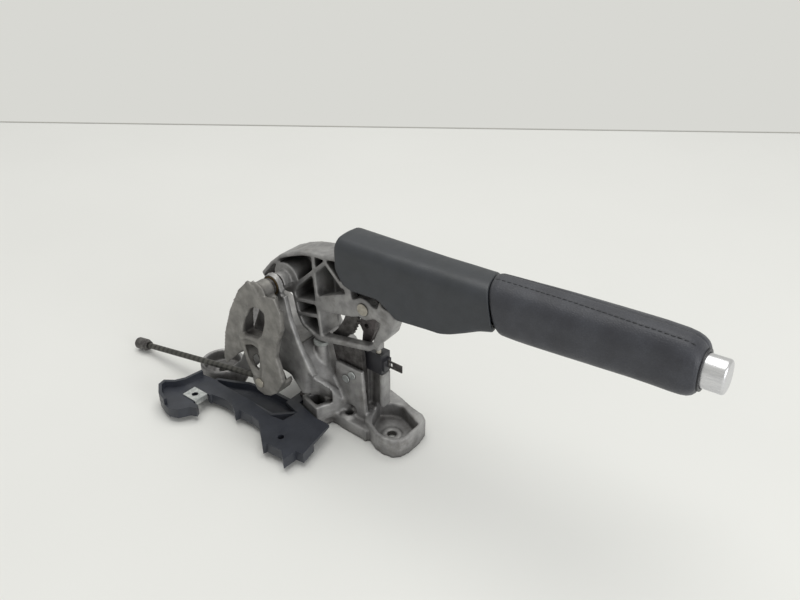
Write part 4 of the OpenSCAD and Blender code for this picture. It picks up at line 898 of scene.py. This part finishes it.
@dataclass
class ShroudCover:
    """Grained cover behind the grip: rounded on top, open below and behind, cut slantwise at the grip."""

    shop: Workshop
    rear_mm: float = -33.5
    front_mm: float = 78.7
    floor_from_mm: float = 8.3
    slant_origin: tuple[float, float] = (0.0, 165.0)
    slant: tuple[float, float] = (-0.26, -0.21)
    slant_from_mm: float = 44.0
    profile: Sequence[tuple[float, float, float, float, float, float]] = (
        (-33.5, -19.0, 13.2, 165.2, 8.5, 11.5), (8, -18.5, 13.8, 165.6, 8.5, 11.5),
        (25, -17.3, 14.1, 165.6, 8.8, 11.3), (40, -16.3, 14.4, 165.6, 9.2, 11.0),
        (60, -15.3, 15.0, 165.9, 9.8, 10.6), (79, -14.4, 15.4, 166.1, 10.2, 10.2),
    )
    bottom: Sequence[tuple[float, float]] = (
        (-33.5, 143.5), (-27, 132.3), (-20, 130.2), (2.7, 131.5), (12.7, 125.3), (17.6, 121.1), (40, 122.5),
        (49.7, 123.0), (57, 125.2), (66.7, 129.6), (77, 134.4), (86, 136.6), (96, 136.6),
    )
    thick_mm: float = 2.2
    side_steps: int = 7
    arc_steps: int = 7
    top_steps: int = 6
    floor_steps: int = 6
    foot_mm: float = 5.0
    foot_steps: int = 3
    toe_mm: float = 7.5
    crown_mm: float = 0.35
    rear_rows: Sequence[tuple[float, float]] = ((0.0, 1.1), (0.3, 0.45), (0.9, 0.1), (1.8, 0.0))
    front_rows: Sequence[tuple[float, float]] = ((0.9, 0.0), (0.3, 0.15), (0.0, 0.6), (0.0, 1.8), (0.6, 3.0))
    floor_top_mm: float = 150.0
    floor_span: tuple[float, float] = (-16.9, 12.4)

    def low(self, x: float) -> float:
        """Height of the lower edge at a place, its corners eased over just over two millimetres."""
        spread = [row_at(self.bottom, x + step)[0] for step in (-1.2, -0.4, 0.4, 1.2)]
        return sum(spread) / len(spread)

    def ring(self, x: float, inset: float = 0.0) -> list[tuple[float, float, float]]:
        """Points round the cover at a station, from the near lower edge up and over to the far one and back.

        Args:
            x: Station along the frame's X, before the slant of the front end.
            inset: How far the section is drawn in, for rounded ends.

        Returns:
            The points in millimetres of the shared frame.
        """
        near, far, top, near_r, far_r = row_at(self.profile, x)
        near, far, top = near + inset, far - inset, top - inset
        weight = min(1.0, max(0.0, (x - self.slant_from_mm) / (self.front_mm - self.slant_from_mm)))
        foot = min(self.foot_mm, max(1.0, self.foot_mm * weight))
        low = self.low(x + self.toe_mm * weight) + inset
        points = corner((near + foot, low + foot), foot, 270, self.foot_steps)
        points += [(near, float(z)) for z in np.linspace(low + foot, top - near_r, self.side_steps)[1:]]
        points += corner((near + near_r, top - near_r), near_r, 180, self.arc_steps - 1)
        span = np.linspace(near + near_r, far - far_r, self.top_steps)[1:-1]
        long = span[-1] - span[0] + 4
        points += [(float(y), top + self.crown_mm * math.sin(math.pi * (y - span[0] + 2) / long)) for y in span]
        points += [(far - far_r, top), *corner((far - far_r, top - far_r), far_r, 90, self.arc_steps + 1)]
        points += [(far, float(z)) for z in np.linspace(top - far_r, low + foot, self.side_steps)[1:]]
        points += corner((far - foot, low + foot), foot, 0, self.foot_steps)
        points += [(float(y), low) for y in np.linspace(far - foot, near + foot, self.floor_steps)[1:]]
        (lean_y, lean_z), (y0, z0) = self.slant, self.slant_origin
        return [(x + weight * (lean_y * (y - y0) + lean_z * (z - z0)), y, z) for y, z in points]

    def build(self) -> None:
        """Makes the shell, opens it at the rear and below, and gives it its wall."""
        rows = [(self.rear_mm + ahead, inset) for ahead, inset in self.rear_rows]
        rows += [(float(x), 0.0) for x in np.arange(self.rear_mm + 3.5, self.front_mm - 1.5, 1.7)]
        rows += [(self.front_mm - back, inset) for back, inset in self.front_rows]
        bm = skin([self.ring(x, inset) for x, inset in rows])
        y0, y1 = self.floor_span
        open_floor = []
        for face in bm.faces:
            middle = face.calc_center_median()
            if face.normal.z < -0.5 and middle.x < self.floor_from_mm and middle.z < self.floor_top_mm:
                if all(y0 < vert.co.y < y1 for vert in face.verts):
                    open_floor.append(face)
        bmesh.ops.delete(bm, geom=open_floor, context="FACES")
        bm.transform(Matrix.Scale(MM, 4))
        cover = self.shop.piece("grained_cover", bm, self.shop.finishes.shroud)
        modify(cover, "wall", "SOLIDIFY", thickness=self.thick_mm * MM, offset=-1)
        self.shop.settle(cover, Body.LEVER, "shroud_cover")


@dataclass
class PushButton:
    """Satin button with a softened rim, and the dark ring that it stands in."""

    shop: Workshop
    axes: HandleAxes = field(default_factory=HandleAxes)
    high: float = 20.0
    wide: float = 16.0
    start_mm: float = 209.5
    end_mm: float = 230.5
    rim_mm: float = 1.7

    def build(self) -> None:
        """Makes the button as an oval bar with a softened rim, and rounds the ring."""
        bm = bmesh.new()
        bmesh.ops.create_circle(bm, cap_ends=True, segments=64, radius=self.wide / 2)
        half = (self.high - self.wide) / 2
        for vert in bm.verts:
            vert.co.y += math.copysign(half, vert.co.y) if abs(vert.co.y) > 1e-4 else 0.0
        for axis in "XZ":
            turn = Matrix.Rotation(math.pi / 2, 3, axis)
            bmesh.ops.rotate(bm, verts=bm.verts, cent=(0, 0, 0), matrix=turn)
        bmesh.ops.translate(bm, verts=bm.verts, vec=(self.start_mm, 0, 0))
        made = bmesh.ops.extrude_face_region(bm, geom=list(bm.faces))["geom"]
        tip = [g for g in made if isinstance(g, bmesh.types.BMVert)]
        bmesh.ops.translate(bm, verts=tip, vec=(self.end_mm - self.start_mm, 0, 0))
        rim = [e for e in bm.edges if all(abs(v.co.x - self.end_mm) < 1e-4 for v in e.verts)]
        bmesh.ops.bevel(
            bm, geom=rim, offset=self.rim_mm, offset_type="OFFSET", affect="EDGES", segments=5, profile=0.5,
            material=-1,
        )
        bmesh.ops.recalc_face_normals(bm, faces=bm.faces)
        bm.transform(self.axes.matrix())
        button = self.shop.piece("satin_button", bm, self.shop.finishes.satin)
        button.data.set_sharp_from_angle(angle=CREASE)
        self.shop.settle(button, Body.BUTTON, "push_button")
        self.shop.rounded("nose_ring", Body.LEVER, self.shop.finishes.nylon, 0.3)


@dataclass
class Castings:
    """The three die castings: bracket, lever arm and cable lever."""

    shop: Workshop
    pivot: tuple[float, float] = (-90.0, 113.0)
    crest: Sequence[tuple[float, float, float]] = (
        (-62, -26, 58), (-59, -26, 52), (-54, -24.5, 45), (-50, -20, 40), (-46, -13, 32), (-42, -6, 22),
        (-37, -2, 16),
    )
    heel: Sequence[tuple[float, float, float]] = (
        (-64, -26, 27.5), (-61.5, -20, 24), (-57, -13, 20.8), (-51.5, -10, 18.5), (-46.5, -8.5, 15),
        (-41.5, -5, 12.5), (-37, -2, 11.5),
    )
    wall_mm: float = 2.8
    knife_rings: int = 5
    knife_low: float = 20.6
    knife_side: float = -31.0
    hook: Sequence[tuple[float, float]] = ((-5, 80), (20, 80), (20, 128), (-1, 128), (-1, 108))
    band: Sequence[tuple[float, float]] = (
        (-87, 134), (-84, 135.8), (-72, 140), (-62, 142.2), (-52, 143.6), (-41, 146.2), (-36, 147.2),
    )
    band_mm: float = 2.6
    drop_mm: float = 78.5
    beam: Sequence[tuple[float, float]] = (
        (0.115, 0.03), (0.42, 0.03), (0.42, -0.96), (0.25, -0.96), (0.20, -0.86), (0.17, -0.75), (0.135, -0.61),
        (0.15, -0.46), (0.18, -0.28), (0.15, -0.17),
    )
    near_skin: Sequence[tuple[float, float]] = (
        (-94, 120), (-99, 115), (-106, 103), (-111, 87), (-112.5, 71), (-109, 58), (-131, 36), (-133, 42),
        (-128, 67), (-119, 90), (-107, 111), (-96, 122.5),
    )
    face: float = -42.4
    beads: Sequence[tuple[float, Sequence[tuple[float, float, float]]]] = (
        (1.7, ((-79, 0, 101), (-79.5, 0, 93), (-84, 0, 80), (-91, 0, 73), (-89, 0, 62), (-88, 0, 50),
               (-90, 0, 40))),
        (1.6, ((-96, 0, 101), (-104, 0, 88), (-108, 0, 77), (-109, 0, 69), (-107, 0, 60), (-104, 0, 49),
               (-99, 0, 40))),
        (1.9, ((-109, 0, 69), (-100, -0.4, 73), (-91, 0, 73))),
        (1.8, ((-97, 8, 60), (-97, 0.5, 72))),
    )

    def bracket(self) -> None:
        """Leans the near wall of the front arm in to its foot and slims the pivot boss."""
        rims = list(zip(self.crest, self.heel))
        knife, side = [], self.knife_side
        for (x, y, z), (hx, hy, hz) in rims[:self.knife_rings]:
            low = max(self.knife_low, hz)
            knife.append([(x, y - 0.2, z), (hx, hy - 0.2, low), (hx, side, low), (x, side, z + 0.5)])
        wall = [[(x, y, z), (hx, hy, hz), (hx, hy + self.wall_mm, hz), (x, y + self.wall_mm, z)]
                for (x, y, z), (hx, hy, hz) in rims]
        cuts = [block(knife), collar(self.pivot, (8.3, 11.5), -27.0, -21.2, (-8.0, 188.0))]
        self.shop.cast("base_bracket", Body.BASE, self.shop.finishes.casting, 0.95, cuts, [block(wall)])

    def arm(self) -> None:
        """Slims the hub in the arm's hood and half of the front hook, and closes the top with a band."""
        cuts = [collar(self.pivot, (6.9, 12.0), -21.5, -11.3), slab(self.hook, 1.0, 12.0)]
        under = [(x + 0.4, z - self.band_mm) for x, z in reversed(self.band)]
        band = slab([*self.band, *under], -11.0, 11.0)
        self.shop.cast("lever_arm", Body.LEVER, self.shop.finishes.casting, 0.8, cuts, [band])

    def cable_lever(self) -> None:
        """Thins the front beam, slims the hub, runs beads round the windows and closes the near side."""
        x, z = self.pivot
        cuts = [
            slab([(x + a * self.drop_mm, z + b * self.drop_mm) for a, b in self.beam], -38.3, -28.0),
            collar(self.pivot, (7.4, 12.0), -39.2, -28.9, (-20.0, 200.0)),
        ]
        added = [ridge([(a, self.face + out, b) for a, out, b in path], radius) for radius, path in self.beads]
        added.append(slab(self.near_skin, -42.7, -41.0))
        # The cable lever takes the darker copy of the casting finish, which is painted shade on its near face.
        self.shop.cast("cable_lever", Body.LEVER, self.shop.finishes.shaded_ear_casting, 0.7, cuts, added)

    def build(self) -> None:
        """Dresses the three castings."""
        self.bracket()
        self.arm()
        self.cable_lever()


@dataclass
class Plastics:
    """The console bracket, the switch, the rubber stop and the plastic inside the grip."""

    shop: Workshop
    axes: HandleAxes = field(default_factory=HandleAxes)
    core_share: float = 0.84

    def build(self) -> None:
        """Rounds and dresses each moulding, and slims the core so that it stays under the leather."""
        f = self.shop.finishes
        self.shop.dress({
            Body.BASE: (
                ("console_bracket", f.console, 0.4), ("warning_switch", f.nylon, 0.5),
                ("stop_buffer", f.rubber, 0.4),
            ),
            Body.PLUNGER: (("switch_plunger", f.pale_nylon, 0.2),),
        })
        core = self.shop.merged("grip_core")
        axes = self.axes.matrix()
        core.transform(axes @ Matrix.Diagonal((1.0, self.core_share, self.core_share, 1.0)) @ axes.inverted())
        self.shop.settle(self.shop.piece("grip_core_part", core, f.nylon), Body.LEVER, "grip_core")
        self.shop.rounded("button_guide", Body.LEVER, f.nylon, 0.15)


@dataclass
class Ironmongery:
    """Pins, plates, shafts, screws, clips and the pull rod."""

    shop: Workshop

    def build(self) -> None:
        """Rounds and dresses every small metal piece."""
        f = self.shop.finishes
        self.shop.dress({
            Body.BASE: (
                ("ratchet_sector", f.steel, 0.15), ("sector_rivets", f.zinc, 0.35),
                ("pivot_bushes", f.bronze, 0.2),
                ("switch_terminal", f.steel, 0.12), ("switch_screw", f.zinc, 0.2), ("clip_nut", f.zinc, 0.2),
                ("console_screw", f.steel, 0.3),
            ),
            Body.LEVER: (
                ("pivot_shaft", f.steel, 0.4), ("pivot_sleeve", f.steel, 0.3), ("shaft_clip", f.zinc, 0.12),
                ("cable_pin", f.worn_zinc, 0.3), ("cable_pin_clip", f.zinc, 0.12),
                ("pawl_pin", f.worn_zinc, 0.3),
                ("pawl_pin_clip", f.zinc, 0.12), ("handle_tube", f.steel, 0.2), ("cover_pegs", f.steel, 0.2),
            ),
            Body.BUTTON: (("release_rod", f.zinc, 0.15), ("rod_link_pin", f.zinc, 0.1)),
            Body.PAWL: (("pawl", f.pawl_steel, 0.2),),
            Body.PULL_ROD: (("cable_rod", f.thread_steel, 0.2), ("rod_nut", f.steel, 0.6)),
        })
        spring = self.shop.nodes["button_spring"]
        spring.data.materials.clear()
        spring.data.materials.append(f.zinc)


@dataclass(frozen=True)
class SoftLamp:
    """A square area lamp, in metres and watts, turned towards a point of the part."""

    name: str
    at: tuple[float, float, float]
    to: tuple[float, float, float]
    size: float
    watts: float
    colour: str

    def hang(self) -> None:
        """Makes the lamp and hangs it in its place."""
        data = bpy.data.lights.new(self.name, "AREA")
        data.shape = "SQUARE"
        data.size = self.size
        data.energy = self.watts
        data.color = linear(self.colour)[:3]
        lamp = bpy.data.objects.new(self.name, data)
        lamp.location = self.at
        lamp.rotation_euler = (Vector(self.to) - Vector(self.at)).to_track_quat("-Z", "Y").to_euler()
        bpy.context.scene.collection.objects.link(lamp)


@dataclass
class Studio:
    """Camera, soft lamps, pale table and pale background."""

    shop: Workshop
    azimuth_deg: float = 38.0
    elevation_deg: float = 31.0
    eye_mm: tuple[float, float, float] = (290.5, -362.0, 400.8)
    edge_a_mm: tuple[float, float] = (-936.0, 204.0)
    edge_b_mm: tuple[float, float] = (52.0, 912.0)
    lamps: Sequence[SoftLamp] = (
        SoftLamp("overhead", (-0.15, 0.15, 2.3), (0.0, 0.0, 0.1), 2.0, 32.0, "#FFFFFC"),
        SoftLamp("right_window", (1.5, -0.25, 0.48), (-0.05, 0.0, 0.1), 0.9, 9.5, "#FBFDFF"),
    )
    room: tuple[str, float] = ("#FFFFFF", 0.45)
    wall: tuple[str, float] = ("#D8D8D3", 1.0)
    table_half: float = 3.0
    # half width and lift of the dark strip that paints a shadow along the table's far edge
    line_half: float = 0.0022
    line_lift: float = 0.0004

    def camera(self) -> None:
        """Stands the camera where the photograph was taken from."""
        data = bpy.data.cameras.new("camera")
        data.lens = 36.0
        data.sensor_width = 36.0
        data.clip_start = 0.01
        data.clip_end = 50.0
        camera = bpy.data.objects.new("camera", data)
        camera.location = [c * MM for c in self.eye_mm]
        camera.rotation_euler = (math.radians(90 - self.elevation_deg), 0, math.radians(self.azimuth_deg))
        bpy.context.scene.collection.objects.link(camera)
        bpy.context.scene.camera = camera

    def lights(self) -> None:
        """A broad lamp overhead, a weaker one low on the right, and the pale world around."""
        for lamp in self.lamps:
            lamp.hang()
        world = bpy.data.worlds.new("room")
        world.use_nodes = True
        tree = world.node_tree
        tree.nodes.clear()
        path = add_node(tree, "ShaderNodeLightPath", {}, {})
        seen = path.outputs["Is Camera Ray"]
        for ray in ("Is Glossy Ray", "Is Transmission Ray"):
            links = {0: seen, 1: path.outputs[ray]}
            seen = add_node(tree, "ShaderNodeMath", {"operation": "MAXIMUM"}, links).outputs[0]
        room, wall = (
            add_node(tree, "ShaderNodeBackground", {"Color": linear(shade), "Strength": power}, {}).outputs[0]
            for shade, power in (self.room, self.wall)
        )
        mixed = add_node(tree, "ShaderNodeMixShader", {}, {0: seen, 1: room, 2: wall})
        add_node(tree, "ShaderNodeOutputWorld", {}, {"Surface": mixed.outputs[0]})
        bpy.context.scene.world = world
        bpy.context.scene.view_settings.view_transform = "Standard"

    def table(self) -> None:
        """Lays the table, whose far edge is the line behind the object in the photograph."""
        a = Vector((*self.edge_a_mm, 0)) * MM
        b = Vector((*self.edge_b_mm, 0)) * MM
        along = (b - a).normalized()
        across = Vector((along.y, -along.x, 0))
        middle = (a + b) / 2
        frame = Matrix((
            (along.x, across.x, 0, middle.x), (along.y, across.y, 0, middle.y), (0, 0, 1, 0), (0, 0, 0, 1),
        ))
        bm = bmesh.new()
        bmesh.ops.create_grid(bm, x_segments=1, y_segments=1, size=self.table_half)
        bmesh.ops.translate(bm, verts=bm.verts, vec=(0, self.table_half, 0))
        bm.transform(frame)
        table = self.shop.piece("table_top", bm, self.shop.finishes.table)
        # A thin dark strip laid along the far edge: a painted shadow where the table meets the backdrop.
        edge = bmesh.new()
        bmesh.ops.create_grid(edge, x_segments=1, y_segments=1, size=1.0)
        bmesh.ops.scale(edge, verts=edge.verts, vec=(self.table_half, self.line_half, 1))
        bmesh.ops.translate(edge, verts=edge.verts, vec=(0, 0, self.line_lift))
        edge.transform(frame)
        line = TableLaminate(name="table_edge_shadow", light="#B9B8B2", dark="#B2B1AB").make()
        edge_shadow_strip = self.shop.piece("table_edge_shadow", edge, line)


def clear_scene() -> None:
    """Empties Blender's start-up scene."""
    for thing in list(bpy.data.objects):
        bpy.data.objects.remove(thing)


def main() -> None:
    """Builds the camera, the pieces and the studio in order, and notes how many pieces were made."""
    logging.basicConfig(level=logging.INFO, format="%(message)s")
    clear_scene()
    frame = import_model()
    slots = {row["node"]: row["material_slot"] for row in frame["record"]["subparts"]}
    shop = Workshop(nodes=frame["nodes"], finishes=Finishes(), slots=slots)
    studio = Studio(shop)
    studio.camera()
    for group in (LeatherGrip, ShroudCover, PushButton, Castings, Plastics, Ironmongery):
        group(shop).build()
    studio.lights()
    studio.table()
    LOG.info("%d pieces", shop.count)


if __name__ == "__main__":
    main()
